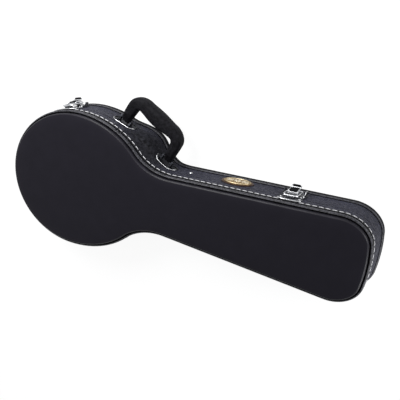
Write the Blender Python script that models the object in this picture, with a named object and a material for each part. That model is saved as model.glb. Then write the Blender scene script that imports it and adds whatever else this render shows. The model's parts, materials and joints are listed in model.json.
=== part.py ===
# Shaped hard case for a mandolin: bottom shell, hinged lid, two draw latches, swinging handle,
# padded interior with a neck cradle and a pocket with a hinged flap.
# The case lies on its bottom panel. X runs from the tail to the head, Y to the handle side, Z up to the lid.

import math

import bmesh
import bpy
from mathutils import Matrix, Vector

MM = 0.001

# Outline of the case, seen from above
BODY_HALF_WIDTH = 140.0 * MM
TAIL_LENGTH = 153.2 * MM
SHOULDER_LENGTH = 172.0 * MM
HEAD_END = 608.6 * MM
NECK_HALF_WIDTH = 48.3 * MM
NECK_WIDENING = 0.0611
WAIST_RADIUS = 78.8 * MM
HEAD_CORNER_RADIUS = 48.9 * MM
HEAD_END_RADIUS = 323.0 * MM

# Fuller shoulder under the handle, as an outward swell of the side along the arc from the tail tip
SWELL_CENTRE = 372.0 * MM
SWELL_HALF_LENGTH = 72.0 * MM
SWELL_DEPTH = 19.0 * MM
SWELL_STEP = 6.0 * MM
SWELL_STAGES = ((44.0 * MM, 1.0), (64.0 * MM, 0.58), (74.0 * MM, 0.19), (84.0 * MM, 0.0))

# Heights
PANEL_THICKNESS = 6.0 * MM
REAR_WELT_TOP = 20.7 * MM
SEAM_HEIGHT = 69.0 * MM
BAND_BOTTOM = 84.8 * MM
BEAD_BOTTOM = 97.0 * MM
BEAD_TOP = 105.3 * MM
LID_SIDE_TOP = 101.7 * MM
LID_CROWN = 114.6 * MM
LID_CROWN_RISE = 1.6 * MM
LID_CROWN_REACH = 40.0 * MM
LID_PANEL_THICKNESS = 6.0 * MM
LID_CEILING = 97.7 * MM

# Walls and linings
GAP = 0.3 * MM
LINING_GAP = 0.7 * MM
WALL_INSET = 1.0 * MM
WALL_THICKNESS = 5.0 * MM
LID_WALL_THICKNESS = 4.5 * MM
WELT_REBATE = 2.0 * MM
WELT_FACE_INSET = 0.7 * MM
BEAD_STAND = 0.3 * MM
REAR_BEAD_LOW = 8.6 * MM
REAR_BEAD_HIGH = 12.4 * MM
REAR_CREASE = 14.4 * MM
FRONT_CREASE = 1.5 * MM
PANEL_SEAT_INSET = 4.0 * MM
LID_SEAT_REACH = 9.5 * MM
LID_HOLLOW_REACH = 16.0 * MM
PANEL_EDGE_INSET = 5.6 * MM
PANEL_EDGE_RADIUS = 6.5 * MM
REAR_EDGE_RADIUS = 6.0 * MM
RIM_THICKNESS = 1.6 * MM
RIM_TOP = 77.0 * MM
RIM_BOTTOM = 56.0 * MM
FLOOR_PADDING = 5.7 * MM
SIDE_PADDING = 5.7 * MM
SIDE_PADDING_TOP = 66.0 * MM
LID_SIDE_LINING = 3.0 * MM
LID_SIDE_LINING_BOTTOM = 79.0 * MM
PADDING_EDGE = 2.0 * MM

# Neck cradle and pocket
CRADLE_START = 215.0 * MM
CRADLE_LENGTH = 47.0 * MM
CRADLE_TOP = 62.0 * MM
NOTCH_HALF_WIDTH = 30.0 * MM
NOTCH_DEPTH = 24.0 * MM
NOTCH_LIP = 3.0 * MM
CROSS_FIT = 0.4 * MM
POCKET_LENGTH = 51.0 * MM
POCKET_TOP = 42.0 * MM
POCKET_WALL = 3.0 * MM
POCKET_SIDE_PLAY = 1.0 * MM
FLAP_THICKNESS = 4.0 * MM
FLAP_PLAY = 0.6 * MM
FLAP_EDGE = 1.0 * MM
PULL_LENGTH = 14.0 * MM
PULL_HALF_WIDTH = 6.0 * MM
PULL_HEIGHT = 3.2 * MM
PULL_THICKNESS = 0.8 * MM
CROSS_WALL_LENGTH = 8.0 * MM
CROSS_WALL_TOP = 52.0 * MM

# Hinges on the side away from the handle
HINGE_CLEARANCE = 1.5 * MM
HINGE_LENGTH = 36.0 * MM
HINGE_HEAD_X = 524.0 * MM
KNUCKLE_RADIUS = 3.0 * MM
HINGE_PIN_RADIUS = 1.3 * MM
BORE_CLEARANCE = 0.1 * MM
LEAF_HEIGHT = 10.5 * MM
LEAF_CORNER = 4.0 * MM
LEAF_KNUCKLE_GAP = 1.0 * MM
WEB_RISE = 3.4 * MM
WEB_THICKNESS = 3.2 * MM
WEB_INSET = 0.6 * MM
PIN_HEAD_RADIUS = 2.2 * MM
PIN_HEAD_HEIGHT = 0.8 * MM
PLATE_THICKNESS = 1.2 * MM

# Draw latches, placed by their arc position from the tail tip
LATCH_PLACES = {"tail": 184.0 * MM, "head": 692.0 * MM}
LATCH_HALF_WIDTH = 22.0 * MM
LATCH_CORNER = 3.0 * MM
LATCH_BASE_BOTTOM = 36.0 * MM
LATCH_BASE_TOP = 66.0 * MM
GUARD_INSET = 1.0 * MM
GUARD_LOW = 4.0 * MM
GUARD_HIGH = 8.5 * MM
GUARD_STEP_Z = 52.0 * MM
GUARD_SLOPE = 3.0 * MM
KEEPER_BOTTOM = 71.5 * MM
KEEPER_TOP = 84.3 * MM
KEEPER_EDGE = 1.2 * MM
LEVER_PIVOT_OUT = 7.0 * MM
LEVER_PIVOT_Z = 59.5 * MM
LEVER_HALF_WIDTH = 8.6 * MM
LEVER_FACE = 4.0 * MM
LEVER_CREST = 5.0 * MM
LEVER_FLARE = 2.0 * MM
LEVER_END_Z = 40.5 * MM
LEVER_END_OUT = 15.5 * MM
LEVER_THICKNESS = 1.4 * MM
LEVER_GRIP_THICKNESS = 2.0 * MM
LEVER_GRIP_REACH = 2.5 * MM
LEVER_PLAY = 0.5 * MM
CHEEK_THICKNESS = 1.2 * MM
CHEEK_MARGIN = 3.2 * MM
BARREL_WALL = 1.5 * MM
EYE_WALL = 2.4 * MM
BAIL_PIVOT_OUT = 7.2 * MM
BAIL_PIVOT_Z = 45.0 * MM
BAIL_HALF_WIDTH = 13.6 * MM
BAIL_CORNER = 5.0 * MM
BAIL_FOOT_CORNER = 2.5 * MM
BAIL_WIRE_RADIUS = 1.2 * MM
BAIL_BAR_OUT = 6.6 * MM
BAIL_BAR_Z = 80.5 * MM
HOOK_THICKNESS = 1.0 * MM
HOOK_LIP = 1.8 * MM
HOOK_DROP = 4.5 * MM
LATCH_PIN_RADIUS = 1.5 * MM
LATCH_PIN_END = 0.5 * MM

# Handle: its plates are placed by arc position, and each pivot clears its plate by a set distance
HANDLE_PLATES = {"tail": 305.0 * MM, "head": 425.0 * MM}
HANDLE_Z = 54.0 * MM
HANDLE_PIVOT_CLEARANCE = {"tail": 4.8 * MM, "head": 8.8 * MM}
HANDLE_PLATE_HALF_LENGTH = 25.0 * MM
HANDLE_PLATE_HALF_HEIGHT = 10.0 * MM
HANDLE_PLATE_RIM = 1.3 * MM
HANDLE_PLATE_RIM_WIDTH = 1.4 * MM
HANDLE_REACH = 50.0 * MM
HANDLE_TOP_HALF = 55.0 * MM
HANDLE_SHIFT = -2.5 * MM
HANDLE_CORNER = 16.0 * MM
HANDLE_PIN_RADIUS = 2.0 * MM
HANDLE_PIN_END = 1.5 * MM
FOOT_DROP = 3.6 * MM
FOOT_DEPTH = 10.4 * MM
LEG_WIDTH = 18.0 * MM
LEG_DEPTH = 25.5 * MM
KNEE_WIDTH = 20.2 * MM
END_THICKNESS = 23.4 * MM
END_DEPTH = 28.5 * MM
GRIP_THICKNESS = 30.0 * MM
GRIP_DEPTH = 31.0 * MM
GRIP_BELLY = 1.5 * MM
GRIP_SWELL_POWER = 1.6
SECTION_POWER = 0.62
EAR_GAP = 22.0 * MM
EAR_THICKNESS = 2.5 * MM
EAR_WALL = 2.6 * MM

# Badge, stud and side feet
BADGE_PLACE = 577.0 * MM
BADGE_Z = 46.0 * MM
BADGE_HALF_LENGTH = 32.0 * MM
BADGE_HALF_HEIGHT = 22.5 * MM
BADGE_RIM = 4.0 * MM
BADGE_EDGE = 1.0 * MM
BADGE_THICKNESS = 1.4 * MM
MEDALLION_EDGE = 0.5 * MM
MEDALLION_FACE = 0.7 * MM
MEDALLION_CROWN = 1.2 * MM
STUD_BEYOND_PLATE = 57.0 * MM
STUD_Z = 54.0 * MM
STUD_RADIUS = 3.6 * MM
STUD_HEIGHT = 3.0 * MM
STUD_SHANK = 0.7 * MM
FOOT_PLACES = {"tail": 150.0 * MM, "shoulder": 330.0 * MM, "head": 680.0 * MM}
FOOT_Z = 38.0 * MM
FOOT_RADIUS = 9.0 * MM
FOOT_HEIGHT = 7.0 * MM

# Spacing of the sections along the outline, in degrees of turn and in length
STATION_TURN = 7.0
STATION_REACH = 60.0 * MM

ROUND_SEGMENTS = 14
WELD_DISTANCE = 0.002 * MM


def clear_scene():
    """Removes every object of the open scene."""
    for item in list(bpy.data.objects):
        bpy.data.objects.remove(item, do_unlink=True)


def material(name, colour, roughness, metallic=0.0):
    """Returns a Principled material, made once for each name."""
    found = bpy.data.materials.get(name)
    if found:
        return found
    made = bpy.data.materials.new(name)
    made.use_nodes = True
    shader = made.node_tree.nodes["Principled BSDF"]
    shader.inputs["Base Color"].default_value = (*colour, 1.0)
    shader.inputs["Roughness"].default_value = roughness
    shader.inputs["Metallic"].default_value = metallic
    return made


def finishes():
    """The finishes of the case, by name."""
    return {
        "vinyl": material("black vinyl", (0.020, 0.020, 0.024), 0.45),
        "welt": material("welt vinyl", (0.045, 0.045, 0.055), 0.5),
        "board": material("lining board", (0.010, 0.010, 0.012), 0.8),
        "plush": material("plush lining", (0.030, 0.028, 0.034), 0.95),
        "chrome": material("chrome", (0.80, 0.80, 0.82), 0.15, 1.0),
        "plastic": material("moulded plastic", (0.015, 0.015, 0.016), 0.4),
        "gold": material("gold badge", (0.83, 0.62, 0.28), 0.3, 1.0),
    }


# Outline

def arc_points(centre, radius, start, end, count):
    """Points along a circular arc from one angle to another."""
    steps = [start + (end - start) * i / (count - 1) for i in range(count)]
    return [centre + radius * Vector((math.cos(a), math.sin(a))) for a in steps]


def half_outline():
    """Dense points of the handle-side half outline, from the tail tip to the head tip.

    Each side of the body's widest line is drawn with round arcs and then stretched lengthwise."""
    tail_stretch = TAIL_LENGTH / BODY_HALF_WIDTH
    neck_stretch = SHOULDER_LENGTH / BODY_HALF_WIDTH
    flank_angle = math.atan(NECK_WIDENING * neck_stretch)
    along = Vector((math.cos(flank_angle), math.sin(flank_angle)))
    outward = Vector((-along.y, along.x))
    flank_start = Vector((0.0, NECK_HALF_WIDTH))

    # The waist fillet touches the body circle and the flank
    base = flank_start + outward * WAIST_RADIUS
    reach = BODY_HALF_WIDTH + WAIST_RADIUS
    run = -base.dot(along) + math.sqrt(base.dot(along) ** 2 - base.dot(base) + reach ** 2)
    waist = base + along * run
    body_angle = math.atan2(waist.y, waist.x)

    # The head corner touches the flank and the end arc
    end_centre = Vector((HEAD_END / neck_stretch - HEAD_END_RADIUS, 0.0))
    base = flank_start - outward * HEAD_CORNER_RADIUS
    offset = base - end_centre
    reach = HEAD_END_RADIUS - HEAD_CORNER_RADIUS
    run = -offset.dot(along) + math.sqrt(offset.dot(along) ** 2 - offset.dot(offset) + reach ** 2)
    corner = base + along * run
    corner_end = math.atan2((corner - end_centre).y, (corner - end_centre).x)

    origin = Vector((0.0, 0.0))
    points = arc_points(origin, BODY_HALF_WIDTH, math.pi, body_angle, 240)
    points += arc_points(waist, WAIST_RADIUS, body_angle + math.pi, 1.5 * math.pi + flank_angle, 90)[1:]
    flank_end = corner + outward * HEAD_CORNER_RADIUS
    last = points[-1]
    points += [last.lerp(flank_end, i / 60) for i in range(1, 60)]
    points += arc_points(corner, HEAD_CORNER_RADIUS, flank_angle + math.pi / 2, corner_end, 90)
    points += arc_points(end_centre, HEAD_END_RADIUS, corner_end, 0.0, 20)[1:]
    return [Vector((p.x * (tail_stretch if p.x < 0 else neck_stretch), p.y)) for p in points]


class Side:
    """Half of the case's outline, with a place and an outward direction for each arc position."""

    def __init__(self):
        self.points = half_outline()
        self.arc = [0.0]
        for a, b in zip(self.points, self.points[1:]):
            self.arc.append(self.arc[-1] + (b - a).length)
        self.length = self.arc[-1]
        self.normals = [self._normal(i) for i in range(len(self.points))]
        self.shared = self._spaced()

    def _normal(self, i):
        if i == 0:
            return Vector((-1.0, 0.0))
        if i == len(self.points) - 1:
            return Vector((1.0, 0.0))
        run = self.points[i + 1] - self.points[i - 1]
        return Vector((-run.y, run.x)).normalized()

    def _locate(self, s):
        s = min(max(s, 0.0), self.length)
        low, high = 0, len(self.arc) - 1
        while high - low > 1:
            middle = (low + high) // 2
            if self.arc[middle] <= s:
                low = middle
            else:
                high = middle
        return low, (s - self.arc[low]) / (self.arc[high] - self.arc[low])

    def place(self, s):
        """Point of the outline at an arc position."""
        i, t = self._locate(s)
        return self.points[i].lerp(self.points[i + 1], t)

    def normal(self, s):
        """Outward direction at an arc position."""
        i, t = self._locate(s)
        return self.normals[i].lerp(self.normals[i + 1], t).normalized()

    def arc_at_x(self, x):
        """Arc position where the outline reaches a length along X."""
        for i in range(len(self.points) - 1):
            if self.points[i].x <= x < self.points[i + 1].x:
                t = (x - self.points[i].x) / (self.points[i + 1].x - self.points[i].x)
                return self.arc[i] + t * (self.arc[i + 1] - self.arc[i])
        return self.length

    def _spaced(self):
        found = [0.0]
        bend = 0.0
        for i in range(1, len(self.arc)):
            bend += math.degrees(self.normals[i].angle(self.normals[i - 1]))
            if bend >= STATION_TURN or self.arc[i] - found[-1] >= STATION_REACH:
                found.append(self.arc[i])
                bend = 0.0
        return found

    def stations(self, start, end, swollen=True):
        """Arc positions of a sweep's sections between two ends, closer together along the swell."""
        first = [s for s in self.shared if start + 1 * MM < s < end - 1 * MM]
        found = []
        for a, b in zip([start] + first, first + [end]):
            parts = 1
            if swollen and abs((a + b) / 2 - SWELL_CENTRE) < SWELL_HALF_LENGTH:
                parts = math.ceil((b - a) / SWELL_STEP)
            found += [a + (b - a) * i / parts for i in range(parts)]
        return found + [end]


SIDE = Side()


def swell(s, z):
    """Outward swell of the handle side: a smooth wave along the arc, in straight stages of height."""
    offset = abs(s - SWELL_CENTRE) / SWELL_HALF_LENGTH
    if offset >= 1.0 or z >= SWELL_STAGES[-1][0]:
        return 0.0
    share = 1.0
    for (low, low_share), (high, high_share) in zip(SWELL_STAGES, SWELL_STAGES[1:]):
        if low < z <= high:
            share = low_share + (high_share - low_share) * (z - low) / (high - low)
    return SWELL_DEPTH * math.cos(math.pi / 2 * offset) ** 2 * share


def stage_heights(low, high):
    """Heights of the swell's stages between two heights, both included."""
    return [low] + [z for z, _ in SWELL_STAGES if low < z < high] + [high]


def side_point(s, out, z, hand=1, swollen=True):
    """Point at an outward distance from the outline. hand is 1 on the handle side, -1 on the hinge side."""
    extra = swell(s, z) if swollen and hand > 0 else 0.0
    spot = SIDE.place(s) + SIDE.normal(s) * (out + extra)
    return Vector((spot.x, spot.y * hand, z))


# Solids

def mesh_object(name, points, faces, finish):
    """Makes an object from points and faces, with its faces turned outward."""
    mesh = bpy.data.meshes.new(name)
    mesh.from_pydata([tuple(p) for p in points], [], faces)
    work = bmesh.new()
    work.from_mesh(mesh)
    bmesh.ops.recalc_face_normals(work, faces=work.faces)
    work.to_mesh(mesh)
    work.free()
    mesh.shade_smooth()
    mesh.set_sharp_from_angle(angle=math.radians(35))
    mesh.materials.append(finish)
    made = bpy.data.objects.new(name, mesh)
    bpy.context.collection.objects.link(made)
    return made


def loft(name, rings, finish, closed=False):
    """Joins rings of equal count into a solid, capped at both ends unless the rings close up."""
    count = len(rings[0])
    points = [p for ring in rings for p in ring]
    faces = []
    total = len(rings)
    for r in range(total if closed else total - 1):
        a, b = r * count, (r + 1) % total * count
        for i in range(count):
            j = (i + 1) % count
            faces.append((a + i, a + j, b + j, b + i))
    if not closed:
        faces.append(tuple(range(count)))
        faces.append(tuple(range((total - 1) * count, total * count)))
    return mesh_object(name, points, faces, finish)


def loop_points(inset, z, swollen=True):
    """The whole closed outline at an inset and height, handle side first."""
    stations = SIDE.stations(0.0, SIDE.length, swollen)
    handle_side = [side_point(s, -inset, z, 1, swollen) for s in stations]
    hinge_side = [side_point(s, -inset, z, -1) for s in reversed(stations[1:-1])]
    return handle_side + hinge_side


def slab(name, profile, swollen, finish):
    """A plate with the case's outline: the profile lists inset and height from one flat face to the other."""
    return loft(name, [loop_points(inset, z, swollen) for inset, z in profile], finish)


def hoop(name, profile, swollen, finish):
    """A ring with the case's outline, from a closed profile of inset and height."""
    return loft(name, [loop_points(inset, z, swollen) for inset, z in profile], finish, closed=True)


def strip(name, hand, start, end, profile, finish):
    """A length of side from a closed profile of inset, height and whether it follows the swell."""
    rings = []
    follows = any(swollen for _, _, swollen in profile)
    for s in SIDE.stations(start, end, follows):
        rings.append([side_point(s, -inset, z, hand, swollen) for inset, z, swollen in profile])
    return loft(name, rings, finish)


def patch(name, hand, stations, profile_at, finish):
    """A piece of hardware bent to the side: profile_at gives a closed list of out and height."""
    rings = [[side_point(s, out, z, hand) for out, z in profile_at(s)] for s in stations]
    return loft(name, rings, finish)


def spread(start, end, count):
    """Evenly spaced values, ends included."""
    return [start + (end - start) * i / (count - 1) for i in range(count)]


def oval_stations(centre, half, count):
    """Arc positions across an oval, closer together towards its ends."""
    return [centre - half * 0.995 * math.cos(math.pi * i / (count - 1)) for i in range(count)]


def rounded_half(offset, half_length, half_height, radius):
    """Half height of a rounded rectangle at an offset from its middle."""
    past = abs(offset) - (half_length - radius)
    if past <= 0:
        return half_height
    return half_height - radius + math.sqrt(max(radius * radius - past * past, 0.0))


def rod(name, start, end, radius, finish, segments=ROUND_SEGMENTS):
    """A cylinder between two points."""
    axis = end - start
    made = rings_about(name, start, axis, [(0.0, radius), (axis.length, radius)], finish, segments)
    return made


def rings_about(name, start, axis, profile, finish, segments=ROUND_SEGMENTS):
    """A turned solid from a profile of distance along the axis and radius."""
    along = axis.normalized()
    turn = along.to_track_quat("Z", "Y").to_matrix()
    rings = []
    for distance, radius in profile:
        centre = start + along * distance
        ring = []
        for i in range(segments):
            a = 2 * math.pi * i / segments
            ring.append(centre + turn @ Vector((radius * math.cos(a), radius * math.sin(a), 0.0)))
        rings.append(ring)
    return loft(name, rings, finish)


def join(target, *others):
    """Unites other solids with the target and removes them."""
    for other in others:
        apply_boolean(target, other, "UNION")
    return target


def cut(target, *cutters):
    """Cuts solids away from the target and removes them."""
    for cutter in cutters:
        apply_boolean(target, cutter, "DIFFERENCE")
    return target


def apply_boolean(target, other, operation):
    """Applies one exact Boolean to the target's mesh."""
    modifier = target.modifiers.new(operation.lower(), "BOOLEAN")
    modifier.operation = operation
    modifier.solver = "EXACT"
    modifier.object = other
    bpy.context.view_layer.update()
    graph = bpy.context.evaluated_depsgraph_get()
    result = bpy.data.meshes.new_from_object(target.evaluated_get(graph))
    work = bmesh.new()
    work.from_mesh(result)
    bmesh.ops.remove_doubles(work, verts=work.verts, dist=WELD_DISTANCE)
    bmesh.ops.dissolve_degenerate(work, edges=work.edges, dist=WELD_DISTANCE)
    work.to_mesh(result)
    work.free()
    old = target.data
    target.modifiers.remove(modifier)
    target.data = result
    result.name = old.name
    bpy.data.meshes.remove(old)
    bpy.data.objects.remove(other, do_unlink=True)


def local_frame(s, hand=1):
    """Matrix of a flat frame on the side: X along the outline, Y outward, Z up, at height zero."""
    normal = SIDE.normal(s)
    outward = Vector((normal.x, normal.y * hand, 0.0))
    along = outward.cross(Vector((0.0, 0.0, 1.0)))
    spot = SIDE.place(s)
    turn = Matrix((along, outward, Vector((0.0, 0.0, 1.0)))).transposed()
    return Matrix.Translation((spot.x, spot.y * hand, 0.0)) @ turn.to_4x4()


def prism(name, frame, outline, start, end, finish):
    """A flat profile of out and height in a frame, extended along the frame's X."""
    rings = [[frame @ Vector((x, out, z)) for out, z in outline] for x in (start, end)]
    return loft(name, rings, finish)


def thick_line(points, thickness):
    """Closed outline of a bent sheet that follows a line of out and height points."""
    left, right = [], []
    spots = [Vector(p) for p in points]
    for i, spot in enumerate(spots):
        before = spots[max(i - 1, 0)]
        after = spots[min(i + 1, len(spots) - 1)]
        run = (after - before).normalized()
        side = Vector((-run.y, run.x)) * thickness / 2
        left.append(tuple(spot + side))
        right.append(tuple(spot - side))
    return left + right[::-1]


def disc_outline(centre, radius, count=ROUND_SEGMENTS):
    """Closed round outline in out and height."""
    turns = [2 * math.pi * i / count for i in range(count)]
    return [(centre[0] + radius * math.cos(a), centre[1] + radius * math.sin(a)) for a in turns]


def ear_outline(base, centre, radius, count=9):
    """Outline of an ear that rises from a base distance to a round end about a centre."""
    turns = [-math.pi / 2 + math.pi * i / (count - 1) for i in range(count)]
    arc = [(centre[0] + radius * math.cos(a), centre[1] + radius * math.sin(a)) for a in turns]
    return [(base, centre[1] - radius * 1.25)] + arc + [(base, centre[1] + radius * 1.25)]


# Shells

def rounded_edge(start_inset, height, radius, count, upward):
    """Profile points of a quarter round between an edge face and a flat face."""
    found = []
    for i in range(count):
        a = math.pi / 2 * i / (count - 1)
        rise = radius * math.sin(a)
        found.append((start_inset + radius * (1 - math.cos(a)), height + (rise if upward else -rise)))
    return found


def make_bottom_shell(kit):
    """Bottom panel, the two bent side boards, the rear welt and the rim strips."""
    edge = rounded_edge(WELT_FACE_INSET, PANEL_THICKNESS, REAR_EDGE_RADIUS, 4, upward=False)
    slab("bottom_panel", edge[::-1] + [(PANEL_SEAT_INSET, PANEL_THICKNESS)], True, kit["vinyl"])

    outer = WALL_INSET
    inner = WALL_INSET + WALL_THICKNESS
    rebate = WALL_INSET + WELT_REBATE
    foot = PANEL_THICKNESS + GAP
    welt_shelf = REAR_WELT_TOP + GAP
    top = SEAM_HEIGHT - GAP / 2
    heights = stage_heights(welt_shelf, top)
    profile = [(inner, foot, False), (rebate, foot, True), (rebate, welt_shelf, True)]
    profile += [(outer, z, True) for z in heights]
    profile += [(inner, top, False)]
    for label, hand in (("handle", 1), ("hinge", -1)):
        strip(f"bottom_side_{label}", hand, GAP / 2, SIDE.length - GAP / 2, profile, kit["vinyl"])

    face = WELT_FACE_INSET
    back = rebate - GAP
    bead = [(face, foot), (-BEAD_STAND, REAR_BEAD_LOW), (-BEAD_STAND, REAR_BEAD_HIGH), (face, REAR_CREASE)]
    flat = [(face, REAR_WELT_TOP), (back, REAR_WELT_TOP)]
    hoop("rear_welt", [(back, foot)] + bead + flat, True, kit["welt"])

    rim_outer = inner + LINING_GAP
    rim_inner = rim_outer + RIM_THICKNESS
    rim = [(rim_outer, RIM_BOTTOM), (rim_outer, RIM_TOP), (rim_inner, RIM_TOP), (rim_inner, RIM_BOTTOM)]
    for label, hand in (("handle", 1), ("hinge", -1)):
        strip(f"rim_strip_{label}", hand, GAP / 2, SIDE.length - GAP / 2,
              [(inset, z, False) for inset, z in rim], kit["board"])


def make_bottom_lining(kit):
    """Floor pad and the two side pads of the bottom shell."""
    outer = WALL_INSET + WALL_THICKNESS + LINING_GAP
    floor = PANEL_THICKNESS + GAP
    top = floor + FLOOR_PADDING
    slab("floor_padding", [(outer, floor), (outer, top)], False, kit["plush"])

    inner = outer + SIDE_PADDING
    over_rim = outer + RIM_THICKNESS + GAP
    foot = top + GAP
    rim_foot = RIM_BOTTOM - GAP
    edge = PADDING_EDGE
    profile = [(outer, foot), (outer, rim_foot), (over_rim, rim_foot), (over_rim, SIDE_PADDING_TOP - edge / 2)]
    profile += [(inner - edge, SIDE_PADDING_TOP), (inner, SIDE_PADDING_TOP - edge * 1.5), (inner, foot)]
    for label, hand in (("handle", 1), ("hinge", -1)):
        strip(f"side_padding_{label}", hand, GAP / 2, SIDE.length - GAP / 2,
              [(inset, z, False) for inset, z in profile], kit["plush"])


def make_lid(kit):
    """Lid side boards, the front welt, the crowned lid panel and its lining."""
    outer = WALL_INSET
    inner = WALL_INSET + LID_WALL_THICKNESS
    rebate = WALL_INSET + WELT_REBATE
    foot = SEAM_HEIGHT + GAP / 2
    shelf = BAND_BOTTOM - GAP
    profile = [(inner, foot, False)]
    profile += [(outer, z, True) for z in stage_heights(foot, shelf)]
    profile += [(rebate, shelf, True), (rebate, LID_SIDE_TOP, True), (inner, LID_SIDE_TOP, False)]
    for label, hand in (("handle", 1), ("hinge", -1)):
        strip(f"lid_side_{label}", hand, GAP / 2, SIDE.length - GAP / 2, profile, kit["vinyl"])

    back = rebate - GAP
    middle = (BEAD_BOTTOM + BEAD_TOP) / 2
    rise = (BEAD_TOP - BEAD_BOTTOM) * 0.36
    stand = BEAD_STAND
    band = [(back, BAND_BOTTOM), (WELT_FACE_INSET, BAND_BOTTOM), (WELT_FACE_INSET, BEAD_BOTTOM - FRONT_CREASE)]
    bead = [(FRONT_CREASE, BEAD_BOTTOM - stand), (stand, middle - rise), (-stand, middle)]
    bead += [(stand, middle + rise), (stand * 4, BEAD_TOP), (back, BEAD_TOP - stand * 2)]
    hoop("front_welt", band + bead, True, kit["welt"])

    seat = LID_SIDE_TOP + GAP
    edge_top = LID_CROWN - LID_CROWN_RISE - PANEL_EDGE_RADIUS
    hollow = LID_CROWN - LID_PANEL_THICKNESS
    edge = rounded_edge(PANEL_EDGE_INSET, edge_top, PANEL_EDGE_RADIUS, 4, upward=True)
    crown = [(LID_CROWN_REACH * 0.6, LID_CROWN - LID_CROWN_RISE * 0.375), (LID_CROWN_REACH, LID_CROWN)]
    under = [(LID_HOLLOW_REACH, hollow), (LID_SEAT_REACH, seat), (PANEL_EDGE_INSET, seat)]
    slab("lid_panel", under + edge + crown, False, kit["vinyl"])

    pad_top = seat - GAP - BORE_CLEARANCE
    ceiling = LID_CEILING
    face = inner + LINING_GAP
    pad = [(LID_HOLLOW_REACH + LINING_GAP, hollow - GAP), (LID_SEAT_REACH + LINING_GAP, pad_top),
           (face, pad_top), (face, ceiling + PADDING_EDGE), (face + PADDING_EDGE, ceiling)]
    slab("lid_padding", pad, False, kit["plush"])

    high = ceiling - GAP
    low = LID_SIDE_LINING_BOTTOM
    back = face + LID_SIDE_LINING
    lining = [(face, low), (face, high), (back, high), (back, low + PADDING_EDGE),
              (back - PADDING_EDGE / 2, low)]
    for label, hand in (("handle", 1), ("hinge", -1)):
        strip(f"lid_lining_{label}", hand, GAP / 2, SIDE.length - GAP / 2,
              [(inset, z, False) for inset, z in lining], kit["plush"])


# Interior

def inner_half_width(x):
    """Half width between the side pads at a length along X."""
    s = SIDE.arc_at_x(x)
    inset = WALL_INSET + WALL_THICKNESS + LINING_GAP + SIDE_PADDING + GAP
    return (SIDE.place(s) - SIDE.normal(s) * inset).y


def cross_block(name, start, end, outline_at, finish):
    """A block across the neck channel: outline_at gives its closed outline for a half width."""
    rings = []
    for x in (start, end):
        rings.append([Vector((x, y, z)) for y, z in outline_at(inner_half_width(x) - CROSS_FIT)])
    return loft(name, rings, finish)


def make_interior(kit):
    """Neck cradle, cross wall, pocket box and its flap with a pull tab."""
    floor = PANEL_THICKNESS + GAP + FLOOR_PADDING + GAP

    def cradle_outline(half):
        lip = NOTCH_LIP
        top = CRADLE_TOP
        dip = [math.pi + math.pi * i / 8 for i in range(9)]
        lower = [(NOTCH_HALF_WIDTH * math.cos(a), top - lip + (NOTCH_DEPTH - lip) * math.sin(a)) for a in dip]
        left = [(-half, floor), (-half, top), (-NOTCH_HALF_WIDTH - lip, top)]
        right = [(NOTCH_HALF_WIDTH + lip, top), (half, top), (half, floor)]
        return left + lower + right

    cradle_end = CRADLE_START + CRADLE_LENGTH
    cross_block("neck_cradle", CRADLE_START, cradle_end, cradle_outline, kit["plush"])

    pocket_start = cradle_end + GAP
    pocket_end = pocket_start + POCKET_LENGTH
    wall_start = pocket_end + GAP

    def wall_outline(half):
        return [(-half, floor), (-half, CROSS_WALL_TOP), (half, CROSS_WALL_TOP), (half, floor)]

    cross_block("cross_wall", wall_start, wall_start + CROSS_WALL_LENGTH, wall_outline, kit["plush"])

    half = inner_half_width(pocket_start) - POCKET_SIDE_PLAY
    box = box_object("pocket_box", (pocket_start, -half, floor), (pocket_end, half, POCKET_TOP), kit["board"])
    hollow = box_object("pocket_hollow",
                        (pocket_start + POCKET_WALL, -half + POCKET_WALL, floor + POCKET_WALL),
                        (pocket_end - POCKET_WALL, half - POCKET_WALL, POCKET_TOP + POCKET_WALL), kit["board"])
    cut(box, hollow)

    # The flap's hinged edge is round about its axis, so that it clears the cross wall as it lifts
    radius = FLAP_THICKNESS / 2
    pivot = Vector((pocket_end - radius - FLAP_PLAY, 0.0, POCKET_TOP + GAP + radius))
    turns = [math.pi / 2 - math.pi * i / 6 for i in range(7)]
    rounded = [(pivot.x + radius * math.cos(a), pivot.z + radius * math.sin(a)) for a in turns]
    front = pocket_start + FLAP_PLAY
    edge = FLAP_EDGE
    tip = [(front, pivot.z - radius + edge), (front, pivot.z + radius - edge),
           (front + edge, pivot.z + radius)]
    outline = rounded + [(front + edge, pivot.z - radius)] + tip
    rings = [[Vector((x, y, z)) for x, z in outline] for y in (-half + FLAP_PLAY, half - FLAP_PLAY)]
    loft("pocket_flap", rings, kit["plush"])

    tab_z = pivot.z + radius + GAP
    start = front + edge * 2
    end = start + PULL_LENGTH
    tab = [(start, tab_z), (end, tab_z), (end, tab_z + PULL_THICKNESS),
           ((start + end) / 2, tab_z + PULL_HEIGHT), (start, tab_z + PULL_THICKNESS)]
    rings = [[Vector((x, y, z)) for x, z in tab] for y in (-PULL_HALF_WIDTH, PULL_HALF_WIDTH)]
    loft("flap_pull", rings, kit["board"])


def box_object(name, low, high, finish):
    """A box between two corners."""
    corners = [(low[0], low[1]), (high[0], low[1]), (high[0], high[1]), (low[0], high[1])]
    rings = [[Vector((x, y, z)) for x, y in corners] for z in (low[2], high[2])]
    return loft(name, rings, finish)


# Hinges

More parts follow.
